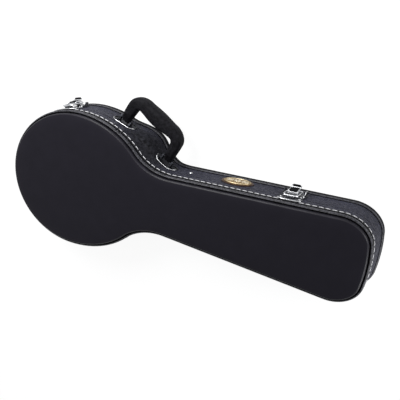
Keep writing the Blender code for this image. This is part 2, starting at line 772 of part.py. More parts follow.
def hinge_line():
    """Point and direction of the lid's axis: a line whose knuckles clear the body and the head alike."""
    split = SHOULDER_LENGTH
    low, high = 0.0, 0.5
    for _ in range(40):
        slope = (low + high) / 2
        direction = Vector((math.cos(slope), math.sin(slope)))
        away = Vector((direction.y, -direction.x))
        body = max(Vector((p.x, -p.y)).dot(away) for p in SIDE.points if p.x < split)
        head = max(Vector((p.x, -p.y)).dot(away) for p in SIDE.points if p.x >= split)
        if body > head:
            low = slope
        else:
            high = slope
    spot = away * (body + KNUCKLE_RADIUS + HINGE_CLEARANCE)
    return Vector((spot.x, spot.y, SEAM_HEIGHT)), Vector((direction.x, direction.y, 0.0))


def arc_beside(point, along):
    """Arc position of the outline that lies square across from a point of the lid's axis."""
    low, high = 0.0, SIDE.length
    for _ in range(40):
        middle = (low + high) / 2
        if (side_point(middle, 0.0, point.z, -1) - point).dot(along) < 0:
            low = middle
        else:
            high = middle
    return low


def make_hinges(kit):
    """Two hinges: a lower leaf with two knuckles, an upper leaf with one, and a pin."""
    spot, along = hinge_line()
    away = Vector((along.y, -along.x))
    body_side = [p for p in SIDE.points if p.x < SHOULDER_LENGTH]
    body_touch = max(body_side, key=lambda p: Vector((p.x, -p.y)).dot(away))
    centres = {
        "body": (Vector((body_touch.x, -body_touch.y, SEAM_HEIGHT)) - spot).dot(along),
        "head": (HINGE_HEAD_X - spot.x) / along.x,
    }
    for label, distance in centres.items():
        make_hinge(label, spot + along * distance, along, kit)


def make_hinge(label, centre, along, kit):
    """One hinge about a centre on the lid's axis."""
    half = HINGE_LENGTH / 2
    third = HINGE_LENGTH / 3
    middle = third / 2
    lower_knuckles = [(-half, -middle - GAP / 2), (middle + GAP / 2, half)]
    upper_knuckles = [(-middle + GAP / 2, middle - GAP / 2)]
    bore = HINGE_PIN_RADIUS + BORE_CLEARANCE
    leaves = {
        "hinge_lower_": (lower_knuckles, -1),
        "hinge_upper_": (upper_knuckles, 1),
    }
    away = Vector((along.y, -along.x, 0.0))

    def wall_distance(x):
        spot = centre + along * x
        return (spot - side_point(arc_beside(spot, along), 0.0, spot.z, -1)).dot(away)

    for prefix, (knuckles, up) in leaves.items():
        name = prefix + label
        near = SEAM_HEIGHT + up * (KNUCKLE_RADIUS + LEAF_KNUCKLE_GAP)
        far = near + up * LEAF_HEIGHT
        back = -WALL_INSET + GAP
        front = back + PLATE_THICKNESS
        s_low = arc_beside(centre - along * half, along)
        s_high = arc_beside(centre + along * half, along)
        stations = spread(s_low, s_high, 9)
        middle_s = (s_low + s_high) / 2
        half_s = (s_high - s_low) / 2

        def leaf_profile(s):
            fall = LEAF_HEIGHT - rounded_half(s - middle_s, half_s, LEAF_HEIGHT, LEAF_CORNER)
            return [(back, near), (back, far - up * fall), (front, far - up * fall), (front, near)]

        leaf = patch(name, -1, stations, leaf_profile, kit["chrome"])
        for start, end in knuckles:
            rings = []
            for x in (start + WEB_INSET, end - WEB_INSET):
                foot = back + PLATE_THICKNESS * 0.4 - wall_distance(x)
                neck = -KNUCKLE_RADIUS / 6
                web_top = KNUCKLE_RADIUS + WEB_RISE
                web_foot = web_top - WEB_THICKNESS
                outline = [(foot, web_top), (neck, web_foot - WEB_INSET), (neck, WEB_INSET),
                           (foot, web_foot + WEB_INSET)]
                spot = centre + along * x
                rings.append([spot + away * out + Vector((0.0, 0.0, up * z)) for out, z in outline])
            web = loft(name + "_web", rings, kit["chrome"])
            ends = (centre + along * start, centre + along * end)
            tube = rod(name + "_tube", ends[0], ends[1], KNUCKLE_RADIUS, kit["chrome"])
            join(leaf, web, tube)
        cut(leaf, rod(name + "_bore", centre - along * (half + KNUCKLE_RADIUS),
                      centre + along * (half + KNUCKLE_RADIUS), bore, kit["chrome"]))
    rise = PIN_HEAD_HEIGHT
    step = rise * 1.01
    face = PIN_HEAD_RADIUS * 0.73
    head = [(0.0, face), (rise, PIN_HEAD_RADIUS), (step, HINGE_PIN_RADIUS)]
    length = HINGE_LENGTH + 2 * (rise + GAP)
    tail = [(length - step, HINGE_PIN_RADIUS), (length - rise, PIN_HEAD_RADIUS), (length, face)]
    rings_about("hinge_pin_" + label, centre - along * length / 2, along, head + tail, kit["chrome"])


# Latches

def latch_across(frame, spot, start, end, radius, name, kit):
    """A rod along a latch's width through a spot given as out and height."""
    ends = [frame @ Vector((x, spot[0], spot[1])) for x in (start, end)]
    return rod(name, ends[0], ends[1], radius, kit["chrome"], 12)


def make_latch(label, place, kit):
    """A draw latch: base with ears and guards, pin, lever with a grip, wire bail, and a keeper on the lid."""
    frame = local_frame(place)
    back = -WALL_INSET + GAP
    front = back + PLATE_THICKNESS
    half = LATCH_HALF_WIDTH
    corner = LATCH_CORNER * 0.3
    stations = spread(place - half, place + half, 7)
    stations = sorted(stations + [stations[0] + corner, stations[-1] - corner])

    def base_profile(s):
        middle = (LATCH_BASE_BOTTOM + LATCH_BASE_TOP) / 2
        tall = rounded_half(s - place, half, (LATCH_BASE_TOP - LATCH_BASE_BOTTOM) / 2, LATCH_CORNER)
        return [(back, middle - tall), (back, middle + tall), (front, middle + tall), (front, middle - tall)]

    root = back + PLATE_THICKNESS * 0.4
    pivot = (LEVER_PIVOT_OUT, LEVER_PIVOT_Z)
    ear = ear_outline(root, pivot, LATCH_PIN_RADIUS + EYE_WALL)
    ear_start = LEVER_HALF_WIDTH + CHEEK_THICKNESS + LEVER_PLAY
    guard_foot = LATCH_BASE_BOTTOM + LATCH_CORNER
    guard_head = LATCH_BASE_TOP - LATCH_CORNER
    slope = GUARD_SLOPE
    guard = [(root, guard_foot), (GUARD_HIGH - slope / 2, guard_foot), (GUARD_HIGH, guard_foot + slope),
             (GUARD_HIGH, GUARD_STEP_Z - slope), (GUARD_LOW, GUARD_STEP_Z + slope / 2),
             (GUARD_LOW, guard_head - slope / 2), (root, guard_head)]
    guard_start = half - GUARD_INSET - PLATE_THICKNESS
    base = patch("latch_base_" + label, 1, stations, base_profile, kit["chrome"])
    for sign in (-1, 1):
        for outline, start in ((ear, ear_start), (guard, guard_start)):
            spots = [place + sign * start, place + sign * (start + PLATE_THICKNESS)]
            join(base, patch("flange", 1, spots, lambda s: outline, kit["chrome"]))
    bore = LATCH_PIN_RADIUS + BORE_CLEARANCE
    reach = ear_start + PLATE_THICKNESS + LATCH_PIN_END
    cut(base, latch_across(frame, pivot, -reach - GAP, reach + GAP, bore, "bore", kit))
    latch_across(frame, pivot, -reach, reach, LATCH_PIN_RADIUS, "latch_pin_" + label, kit)
    make_lever(label, frame, kit)
    make_bail(label, frame, kit)

    # Keeper: a plate with a rolled front edge and a hook whose lip stands just behind the bail's bar
    def keeper_profile(s):
        middle = (KEEPER_BOTTOM + KEEPER_TOP) / 2
        tall = rounded_half(s - place, half, (KEEPER_TOP - KEEPER_BOTTOM) / 2, LATCH_CORNER)
        low, high = middle - tall, middle + tall
        roll = front + KEEPER_EDGE
        return [(back, low), (back, high), (roll, high), (roll, high - KEEPER_EDGE),
                (front, high - KEEPER_EDGE * 1.5), (front, low)]

    keeper = patch("keeper_" + label, 1, stations, keeper_profile, kit["chrome"])
    lip_out = BAIL_BAR_OUT - BAIL_WIRE_RADIUS - HOOK_THICKNESS / 2 - LEVER_PLAY
    foot_z = BAIL_BAR_Z - HOOK_DROP
    hook = [(front - HOOK_THICKNESS * 0.4, foot_z), (lip_out - HOOK_THICKNESS, foot_z + HOOK_THICKNESS / 2),
            (lip_out, foot_z + HOOK_THICKNESS * 2), (lip_out, BAIL_BAR_Z + HOOK_LIP)]
    width = BAIL_HALF_WIDTH - BAIL_CORNER
    join(keeper, prism("hook", frame, thick_line(hook, HOOK_THICKNESS), -width, width, kit["chrome"]))


def make_lever(label, frame, kit):
    """Lever: a folded sheet with two cheeks, a barrel about the pin, and a grip laid on its flared end."""
    out, high = LEVER_PIVOT_OUT, LEVER_PIVOT_Z
    face = out + LEVER_FACE
    half_sheet = LEVER_THICKNESS / 2
    crest = high + LEVER_CREST - half_sheet
    knee = Vector((face + LEVER_FLARE, BAIL_PIVOT_Z - half_sheet))
    tip = Vector((LEVER_END_OUT, LEVER_END_Z))
    fold = LEVER_CREST * 0.4
    bend = [(out - fold / 4, crest), (face - fold, crest - fold / 6), (face - fold / 5, crest - fold),
            (face + fold / 10, high - fold), (face + LEVER_FLARE / 2, BAIL_PIVOT_Z + fold * 1.5), knee, tip]
    width = LEVER_HALF_WIDTH
    sheet = thick_line(bend, LEVER_THICKNESS)
    lever = prism("latch_lever_" + label, frame, sheet, -width, width, kit["chrome"])
    barrel = disc_outline((out, high), LATCH_PIN_RADIUS + BARREL_WALL)
    margin = CHEEK_MARGIN
    eye_out, eye_z = BAIL_PIVOT_OUT, BAIL_PIVOT_Z
    cheek = [(out - fold, crest), (face - fold, crest - fold / 6), (face - fold / 5, crest - fold),
             (face, high - fold), (face + LEVER_FLARE / 2, eye_z + fold * 1.5),
             (eye_out + margin, eye_z - margin * 0.8), (eye_out, eye_z - margin),
             (eye_out - margin, eye_z - margin / 2), (eye_out - margin, eye_z + margin / 2),
             (out - margin, high - fold), (out - margin, high + fold)]
    solids = [prism("barrel", frame, barrel, -width, width, kit["chrome"])]
    for sign in (-1, 1):
        ends = sorted((sign * (width - CHEEK_THICKNESS / 3), sign * (width + CHEEK_THICKNESS)))
        solids.append(prism("cheek", frame, cheek, ends[0], ends[1], kit["chrome"]))
    join(lever, *solids)
    reach = width + CHEEK_THICKNESS + LEVER_PLAY
    cut(lever, latch_across(frame, (out, high), -reach, reach, LATCH_PIN_RADIUS + BORE_CLEARANCE, "bore", kit),
        latch_across(frame, (eye_out, eye_z), -reach, reach, BAIL_WIRE_RADIUS + BORE_CLEARANCE, "bore", kit))

    run = (tip - knee).normalized()
    lift = Vector((-run.y, run.x)) * ((LEVER_THICKNESS + LEVER_GRIP_THICKNESS) / 2 + GAP)
    grip_line = [knee + run * half_sheet + lift, tip + lift, tip + run * LEVER_GRIP_REACH + lift]
    grip_half = width - half_sheet
    prism("latch_grip_" + label, frame, thick_line(grip_line, LEVER_GRIP_THICKNESS), -grip_half, grip_half,
          kit["plastic"])


def make_bail(label, frame, kit):
    """Wire loop whose ends turn inward into the lever's cheeks."""
    half = BAIL_HALF_WIDTH
    corner = BAIL_CORNER
    small = BAIL_FOOT_CORNER
    stub = LEVER_HALF_WIDTH - CHEEK_THICKNESS
    foot = (BAIL_PIVOT_OUT, BAIL_PIVOT_Z)
    top = (BAIL_BAR_OUT, BAIL_BAR_Z)

    def climb(z):
        t = (z - foot[1]) / (top[1] - foot[1])
        return foot[0] + t * (top[0] - foot[0])

    right = [(stub, BAIL_PIVOT_Z), (half - small, BAIL_PIVOT_Z)]
    right += [(half - small + small * math.sin(a), BAIL_PIVOT_Z + small * (1 - math.cos(a)))
              for a in (math.pi / 4, math.pi / 2)]
    right += [(half - corner + corner * math.cos(a), BAIL_BAR_Z - corner + corner * math.sin(a))
              for a in (0.0, math.pi / 6, math.pi / 3, math.pi / 2)]
    left = [(-x, z) for x, z in reversed(right)]
    route = [frame @ Vector((x, climb(z), z)) for x, z in right + left]
    out = frame.to_3x3() @ Vector((0.0, 1.0, 0.0))
    tube_along("latch_bail_" + label, route, out, BAIL_WIRE_RADIUS, 8, kit["chrome"])


def tube_along(name, route, reference, radius, segments, finish):
    """A round tube along points that stay close to the plane square to a reference direction."""
    rings = []
    for i, spot in enumerate(route):
        before = route[max(i - 1, 0)]
        after = route[min(i + 1, len(route) - 1)]
        run = (after - before).normalized()
        first = (reference - run * reference.dot(run)).normalized()
        second = run.cross(first)
        turns = [2 * math.pi * k / segments for k in range(segments)]
        rings.append([spot + first * (radius * math.cos(a)) + second * (radius * math.sin(a)) for a in turns])
    return loft(name, rings, finish)


# Handle

def handle_plate_back():
    """Distance of the back of the handle's plates from the outline."""
    return -WALL_INSET + GAP + BORE_CLEARANCE


def handle_frame():
    """Frame of the handle: X along its pivots, Y outward, Z up, origin midway between the pivots.

    Each pivot is moved until it clears its plate by the set distance all across the foot."""
    front = handle_plate_back() + PLATE_THICKNESS
    outs = dict(HANDLE_PIVOT_CLEARANCE)
    for _ in range(12):
        ends = [side_point(s, outs[label], HANDLE_Z) for label, s in HANDLE_PLATES.items()]
        along = (ends[1] - ends[0]).normalized()
        outward = Vector((-along.y, along.x, 0.0))
        turn = Matrix((along, outward, Vector((0.0, 0.0, 1.0)))).transposed()
        frame = Matrix.Translation((ends[0] + ends[1]) / 2) @ turn.to_4x4()
        back = frame.inverted()
        for label, s in HANDLE_PLATES.items():
            across = spread(-LEG_WIDTH / 2, LEG_WIDTH / 2, 5)
            under = [(back @ side_point(s + d, front, HANDLE_Z)).y for d in across]
            outs[label] += HANDLE_PIVOT_CLEARANCE[label] + max(under)
    return frame, (ends[1] - ends[0]).length / 2


def handle_route(half):
    """Centre line of the handle in its frame, with the section's thickness and depth at each point."""
    corner = HANDLE_CORNER
    knee = HANDLE_REACH - corner
    low = 0.2 * HANDLE_REACH
    route = [(-FOOT_DROP, LEG_WIDTH * 0.82, FOOT_DEPTH * 0.5),
             (-FOOT_DROP * 0.55, LEG_WIDTH * 0.9, FOOT_DEPTH * 0.85),
             (0.0, LEG_WIDTH, FOOT_DEPTH),
             (low * 0.4, LEG_WIDTH, FOOT_DEPTH * 1.35),
             (low, LEG_WIDTH, LEG_DEPTH * 0.86),
             (low * 1.8, LEG_WIDTH, LEG_DEPTH),
             (knee, KNEE_WIDTH, LEG_DEPTH)]
    found = [(-half - (HANDLE_TOP_HALF - half) * rise / HANDLE_REACH, rise, width, depth)
             for rise, width, depth in route]
    for a in (30, 60):
        t = math.radians(a)
        x = -HANDLE_TOP_HALF + corner * (1 - math.cos(t)) - GRIP_BELLY * (1 - a / 90)
        y = knee + corner * math.sin(t)
        found.append((x, y, (KNEE_WIDTH + END_THICKNESS) / 2, (LEG_DEPTH + END_DEPTH) / 2))
    start = -HANDLE_TOP_HALF + corner
    for x in spread(start, 0.0, 5):
        swelling = math.cos(math.pi / 2 * x / start) ** GRIP_SWELL_POWER
        thickness = END_THICKNESS + (GRIP_THICKNESS - END_THICKNESS) * swelling
        depth = END_DEPTH + (GRIP_DEPTH - END_DEPTH) * swelling
        sag = (thickness - END_THICKNESS) / 2 - GRIP_BELLY * swelling
        found.append((x, HANDLE_REACH - sag, thickness, depth))
    found += [(-x, y, t, d) for x, y, t, d in reversed(found[:-1])]
    return [(x + HANDLE_SHIFT * max(y, 0.0) / HANDLE_REACH, y, t, d) for x, y, t, d in found]


def make_handle(kit):
    """Moulded handle with a swelling grip, its two plates with ears, and the pins through its feet."""
    frame, half = handle_frame()
    route = handle_route(half)
    rings = []
    for i, (x, y, thickness, depth) in enumerate(route):
        before = route[max(i - 1, 0)]
        after = route[min(i + 1, len(route) - 1)]
        run = Vector((after[0] - before[0], after[1] - before[1], 0.0)).normalized()
        across = Vector((-run.y, run.x, 0.0))
        ring = []
        for k in range(ROUND_SEGMENTS):
            a = 2 * math.pi * (k + 0.5) / ROUND_SEGMENTS
            u = math.copysign(abs(math.cos(a)) ** SECTION_POWER, math.cos(a)) * thickness / 2
            w = math.copysign(abs(math.sin(a)) ** SECTION_POWER, math.sin(a)) * depth / 2
            ring.append(frame @ (Vector((x, y, 0.0)) + across * u + Vector((0.0, 0.0, w))))
        rings.append(ring)
    handle = loft("handle_grip", rings, kit["plastic"])

    reach = EAR_GAP / 2 + EAR_THICKNESS + HANDLE_PIN_END
    for sign, (label, place) in zip((-1, 1), HANDLE_PLATES.items()):
        pivot = Vector((sign * half, 0.0, 0.0))

        def pin_rod(name, radius, length):
            ends = [frame @ (pivot + Vector((x, 0.0, 0.0))) for x in (-length, length)]
            return rod(name, ends[0], ends[1], radius, kit["chrome"])

        bore = HANDLE_PIN_RADIUS + BORE_CLEARANCE
        cut(handle, pin_rod("bore", bore, reach))
        plate = make_handle_plate(label, place, frame, pivot.x, kit)
        cut(plate, pin_rod("bore", bore, reach + GAP))
        pin_rod("handle_pin_" + label, HANDLE_PIN_RADIUS, reach)


def make_handle_plate(label, place, frame, pivot_x, kit):
    """Plate bent to the side, with a rolled rim and two ears that stand square to the handle's pin."""
    half = HANDLE_PLATE_HALF_LENGTH
    tall = HANDLE_PLATE_HALF_HEIGHT
    back = handle_plate_back()
    front = back + PLATE_THICKNESS
    rim = front + HANDLE_PLATE_RIM
    stations = [place + half * 0.995 * math.sin(math.pi / 2 * t) for t in spread(-1.0, 1.0, 15)]

    def plate_profile(s):
        h = rounded_half(s - place, half, tall, tall * 0.98)
        edge = min(HANDLE_PLATE_RIM_WIDTH, h * 0.45)
        low, high = HANDLE_Z - h, HANDLE_Z + h
        return [(back, low), (back, high), (rim, high), (rim, high - edge * 0.6), (front, high - edge),
                (front, low + edge), (rim, low + edge * 0.6), (rim, low)]

    plate = patch("handle_plate_" + label, 1, stations, plate_profile, kit["chrome"])
    root = back + PLATE_THICKNESS * 0.4
    inverse = frame.inverted()

    def foot(x, z):
        low, high = place - 2 * half, place + 2 * half
        for _ in range(40):
            middle = (low + high) / 2
            if (inverse @ side_point(middle, root, HANDLE_Z + z)).x < x:
                low = middle
            else:
                high = middle
        return (inverse @ side_point(low, root, HANDLE_Z + z)).y

    radius = HANDLE_PIN_RADIUS + EAR_WALL
    spread_z = radius * 1.25
    turns = [-math.pi / 2 + math.pi * i / 8 for i in range(9)]
    for sign in (-1, 1):
        rings = []
        for x in (pivot_x + sign * EAR_GAP / 2, pivot_x + sign * (EAR_GAP / 2 + EAR_THICKNESS)):
            ring = [(foot(x, -spread_z), -spread_z)]
            ring += [(radius * math.cos(a), radius * math.sin(a)) for a in turns]
            ring.append((foot(x, spread_z), spread_z))
            rings.append([frame @ Vector((x, y, z)) for y, z in ring])
        join(plate, loft("ear", rings, kit["chrome"]))
    return plate


# Badge, stud and side feet

def make_badge(kit):
    """Oval badge plate with a crowned medallion on it."""
    back = -WALL_INSET + GAP
    stations = oval_stations(BADGE_PLACE, BADGE_HALF_LENGTH, 15)

    def plate_profile(s):
        share = (s - BADGE_PLACE) / BADGE_HALF_LENGTH
        h = BADGE_HALF_HEIGHT * math.sqrt(max(1 - share * share, 0.0))
        edge = back + BADGE_EDGE
        face = back + BADGE_THICKNESS
        return [(back, BADGE_Z - h), (back, BADGE_Z + h), (edge, BADGE_Z + h), (face, BADGE_Z + h * 0.94),
                (face, BADGE_Z - h * 0.94), (edge, BADGE_Z - h)]

    patch("badge_plate", 1, stations, plate_profile, kit["board"])

    seat = back + BADGE_THICKNESS + GAP
    length = BADGE_HALF_LENGTH - BADGE_RIM
    height = BADGE_HALF_HEIGHT - BADGE_RIM
    stations = oval_stations(BADGE_PLACE, length, 15)

    def medallion_profile(s):
        share = (s - BADGE_PLACE) / length
        h = height * math.sqrt(max(1 - share * share, 0.0))
        crown = MEDALLION_CROWN * (1 - share * share)
        found = [(seat, BADGE_Z - h), (seat, BADGE_Z + h), (seat + MEDALLION_EDGE, BADGE_Z + h)]
        for t in (0.6, 0.0, -0.6):
            found.append((seat + MEDALLION_FACE + crown * (1 - t * t), BADGE_Z + h * t))
        return found + [(seat + MEDALLION_EDGE, BADGE_Z - h)]

    patch("badge_medallion", 1, stations, medallion_profile, kit["gold"])


def make_studs(kit):
    """The small stud beside the handle and the feet on the hinge side."""
    place = HANDLE_PLATES["head"] + STUD_BEYOND_PLATE
    normal = SIDE.normal(place)
    start = side_point(place, -WALL_INSET + 2 * GAP, STUD_Z)
    r = STUD_RADIUS
    h = STUD_HEIGHT
    shank = [(0.0, r * 0.4), (STUD_SHANK, r * 0.4)]
    dome = [(STUD_SHANK * 1.01, r), (h * 0.43, r), (h * 0.7, r * 0.86), (h * 0.93, r * 0.5), (h, r * 0.15)]
    rings_about("side_stud", start, Vector((normal.x, normal.y, 0.0)), shank + dome, kit["chrome"])

    r = FOOT_RADIUS
    h = FOOT_HEIGHT
    profile = [(0.0, r), (h * 0.25, r), (h * 0.6, r * 0.88), (h * 0.88, r * 0.6), (h, r * 0.3)]
    for label, place in FOOT_PLACES.items():
        normal = SIDE.normal(place)
        start = side_point(place, -WALL_INSET + GAP, FOOT_Z, -1)
        rings_about("side_foot_" + label, start, Vector((normal.x, -normal.y, 0.0)), profile, kit["plastic"])


def main():
    clear_scene()
    kit = finishes()
    make_bottom_shell(kit)
    make_bottom_lining(kit)
    make_lid(kit)
    make_interior(kit)
    make_hinges(kit)
    for label, place in LATCH_PLACES.items():
        make_latch(label, place, kit)
    make_handle(kit)
    make_badge(kit)
    make_studs(kit)


main()
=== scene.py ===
# Looks of the mandolin case: finer shells, stitched bindings, padded lining, hardware detail,
# procedural finishes, a pale floor, soft light and the photograph's camera.

import json
import math

import bmesh
import bpy
from mathutils import Matrix, Vector, noise
from mathutils.bvhtree import BVHTree


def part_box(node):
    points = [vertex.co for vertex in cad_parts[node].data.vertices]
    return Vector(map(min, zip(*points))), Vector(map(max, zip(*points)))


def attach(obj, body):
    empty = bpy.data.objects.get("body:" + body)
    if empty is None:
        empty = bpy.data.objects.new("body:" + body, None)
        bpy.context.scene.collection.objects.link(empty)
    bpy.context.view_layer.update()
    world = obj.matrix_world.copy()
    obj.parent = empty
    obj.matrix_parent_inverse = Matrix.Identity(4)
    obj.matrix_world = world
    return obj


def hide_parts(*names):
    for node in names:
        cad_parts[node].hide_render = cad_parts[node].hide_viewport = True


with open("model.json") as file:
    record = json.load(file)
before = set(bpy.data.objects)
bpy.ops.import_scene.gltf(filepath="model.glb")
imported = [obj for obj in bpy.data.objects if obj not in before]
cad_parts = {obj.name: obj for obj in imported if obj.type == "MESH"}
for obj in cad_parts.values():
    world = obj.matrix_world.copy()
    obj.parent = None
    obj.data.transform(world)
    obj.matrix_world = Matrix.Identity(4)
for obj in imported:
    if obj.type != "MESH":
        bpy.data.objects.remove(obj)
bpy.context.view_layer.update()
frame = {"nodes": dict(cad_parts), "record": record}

MM = 0.001
CASE = "case_bottom"
LID = "lid"

# Outline, as in the part
BODY_HALF_WIDTH = 140.0 * MM
TAIL_LENGTH = 153.2 * MM
SHOULDER_LENGTH = 172.0 * MM
HEAD_END = 608.6 * MM
NECK_HALF_WIDTH = 48.3 * MM
NECK_WIDENING = 0.0611
WAIST_RADIUS = 78.8 * MM
HEAD_CORNER_RADIUS = 48.9 * MM
HEAD_END_RADIUS = 323.0 * MM
SWELL_CENTRE = 372.0 * MM
SWELL_HALF_LENGTH = 72.0 * MM
SWELL_DEPTH = 19.0 * MM
SWELL_STAGES = ((44.0 * MM, 1.0), (64.0 * MM, 0.58), (74.0 * MM, 0.19), (84.0 * MM, 0.0))

# Heights and insets of the shells
PANEL_THICKNESS = 6.0 * MM
SEAM = 69.0 * MM
SEAM_GAP = 0.3 * MM
SEAM_ROLL = 0.9 * MM
BAND_BOTTOM = 84.8 * MM
BEAD_BOTTOM = 97.0 * MM
BEAD_TOP = 105.3 * MM
LID_SIDE_TOP = 101.7 * MM
LID_CROWN = 114.6 * MM
WALL_INSET = 1.0 * MM
WALL_INNER = 6.0 * MM
LID_WALL_INNER = 5.5 * MM
REBATE = 3.0 * MM
REAR_WELT_TOP = 20.7 * MM
LINING_OUTER = 6.7 * MM
LINING_INNER = 12.4 * MM
FLOOR_TOP = 12.0 * MM
SIDE_LINING_TOP = 66.0 * MM
LID_CEILING = 97.7 * MM
LID_PAD_TOP = 108.3 * MM

# Faces of the panel's rolled edge that get a lighter, glossier copy of the face vinyl, whose lighter colour is a
# painted highlight: how far they tilt, and their lowest place
EDGE_STEEPNESS = 0.86
EDGE_LOW = 104.0 * MM

# Black cords, painted shade lines, in the seam between the front band and its bead, and in the one over the rear welt
BEAD_SHADE_CORD = (0.95 * MM, 95.3 * MM)
REAR_SHADE_CORD = (1.1 * MM, 21.9 * MM)
SHADE_CORD_RADIUS = 0.85 * MM

# Stitching along the front band
STITCH_HEIGHT = 88.9 * MM
STITCH_PITCH = 12.0 * MM
STITCH_LENGTH = 8.8 * MM
STITCH_RADIUS = 1.0 * MM

# Hardware places, as in the part
GAP = 0.3 * MM
BORE_CLEARANCE = 0.1 * MM
PLATE_THICKNESS = 1.2 * MM
LATCH_PLACES = {"tail": 184.0 * MM, "head": 692.0 * MM}
LATCH_HALF = 22.0 * MM
GUARD_MIDDLE = 20.4 * MM
GUARD_FOOT = 39.0 * MM
GUARD_HEAD = 63.0 * MM
GUARD_LOW = 4.0 * MM
GUARD_HIGH = 8.5 * MM
GUARD_STEP_Z = 52.0 * MM
KEEPER_TOP = 84.3 * MM
APRON_TOP = 90.6 * MM
APRON_HALF = 20.0 * MM
APRON_TAIL = {"tail": 9.0 * MM, "head": 0.0}
LEVER_PIVOT_Z = 59.5 * MM
LEVER_PIVOT_OUT = 7.0 * MM
LEVER_HALF_WIDTH = 8.6 * MM
LEVER_FACE = 4.0 * MM
LEVER_FLARE = 2.0 * MM
LEVER_END = (15.5 * MM, 40.5 * MM)
LEVER_THICKNESS = 1.4 * MM
BAIL_PIVOT_Z = 45.0 * MM
HANDLE_PLATES = {"tail": 305.0 * MM, "head": 425.0 * MM}
HANDLE_PIVOT_CLEARANCE = {"tail": 4.8 * MM, "head": 8.8 * MM}
HANDLE_PLATE_HALF_LENGTH = 25.0 * MM
HANDLE_PLATE_HALF_HEIGHT = 10.0 * MM
HANDLE_Z = 54.0 * MM
HANDLE_REACH = 50.0 * MM
HANDLE_TOP_HALF = 55.0 * MM
HANDLE_SHIFT = -2.5 * MM
HANDLE_CORNER = 16.0 * MM
FOOT_DROP = 3.6 * MM
FOOT_DEPTH = 10.4 * MM
LEG_WIDTH = 18.0 * MM
LEG_DEPTH = 25.5 * MM
KNEE_WIDTH = 20.2 * MM
END_THICKNESS = 23.4 * MM
END_DEPTH = 28.5 * MM
GRIP_THICKNESS = 30.0 * MM
GRIP_DEPTH = 31.0 * MM
GRIP_BELLY = 1.5 * MM
GRIP_SWELL_POWER = 1.6
SECTION_POWER = 0.55
OUTER_SKIN = {"tail": 3.0 * MM, "head": 1.0 * MM}
INNER_TRIM = 1.6 * MM
SKIN_RISE = 18.0 * MM
PARTING_LIFT = 0.1 * MM
BADGE_PLACE = 577.0 * MM
BADGE_Z = 46.0 * MM
BADGE_HALF_LENGTH = 28.0 * MM
BADGE_HALF_HEIGHT = 18.5 * MM
PLATE_FACE = 0.5 * MM
# Height above the handle's middle where the plate rim turns bright: painted highlight above, painted shade below
RIM_HIGHLIGHT_ABOVE = 3.0 * MM
FOOT_PLACES = {"tail": 150.0 * MM, "shoulder": 330.0 * MM, "head": 680.0 * MM}
FOOT_Z = 38.0 * MM
FOOT_RADIUS = 9.0 * MM

# The photograph's camera
CAMERA_PLACE = Vector((0.74054, 0.44849, 1.20122))
CAMERA_RIGHT = Vector((0.89254912, 0.14072796, -0.42842934))
CAMERA_DOWN = Vector((0.26303679, -0.93416523, 0.24113682))
CAMERA_FORWARD = Vector((-0.3662891, -0.32791914, -0.87080499))
CAMERA_LENS = 60.816
SENSOR_WIDTH = 36.0
CAMERA_SHIFT = (0.0005, -0.0024)


# Outline

def arc_points(centre, radius, start, end, count):
    """Points along a circular arc."""
    steps = [start + (end - start) * i / (count - 1) for i in range(count)]
    return [centre + radius * Vector((math.cos(a), math.sin(a))) for a in steps]


def half_outline():
    """Dense points of the handle-side half outline, from the tail tip to the head tip."""
    tail_stretch = TAIL_LENGTH / BODY_HALF_WIDTH
    neck_stretch = SHOULDER_LENGTH / BODY_HALF_WIDTH
    flank_angle = math.atan(NECK_WIDENING * neck_stretch)
    along = Vector((math.cos(flank_angle), math.sin(flank_angle)))
    outward = Vector((-along.y, along.x))
    flank_start = Vector((0.0, NECK_HALF_WIDTH))

    base = flank_start + outward * WAIST_RADIUS
    reach = BODY_HALF_WIDTH + WAIST_RADIUS
    run = -base.dot(along) + math.sqrt(base.dot(along) ** 2 - base.dot(base) + reach ** 2)
    waist = base + along * run
    body_angle = math.atan2(waist.y, waist.x)

    end_centre = Vector((HEAD_END / neck_stretch - HEAD_END_RADIUS, 0.0))
    base = flank_start - outward * HEAD_CORNER_RADIUS
    offset = base - end_centre
    reach = HEAD_END_RADIUS - HEAD_CORNER_RADIUS
    run = -offset.dot(along) + math.sqrt(offset.dot(along) ** 2 - offset.dot(offset) + reach ** 2)
    corner = base + along * run
    corner_end = math.atan2((corner - end_centre).y, (corner - end_centre).x)

    points = arc_points(Vector((0.0, 0.0)), BODY_HALF_WIDTH, math.pi, body_angle, 240)
    points += arc_points(waist, WAIST_RADIUS, body_angle + math.pi, 1.5 * math.pi + flank_angle, 90)[1:]
    flank_end = corner + outward * HEAD_CORNER_RADIUS
    last = points[-1]
    points += [last.lerp(flank_end, i / 60) for i in range(1, 60)]
    points += arc_points(corner, HEAD_CORNER_RADIUS, flank_angle + math.pi / 2, corner_end, 90)
    points += arc_points(end_centre, HEAD_END_RADIUS, corner_end, 0.0, 20)[1:]
    return [Vector((p.x * (tail_stretch if p.x < 0 else neck_stretch), p.y)) for p in points]


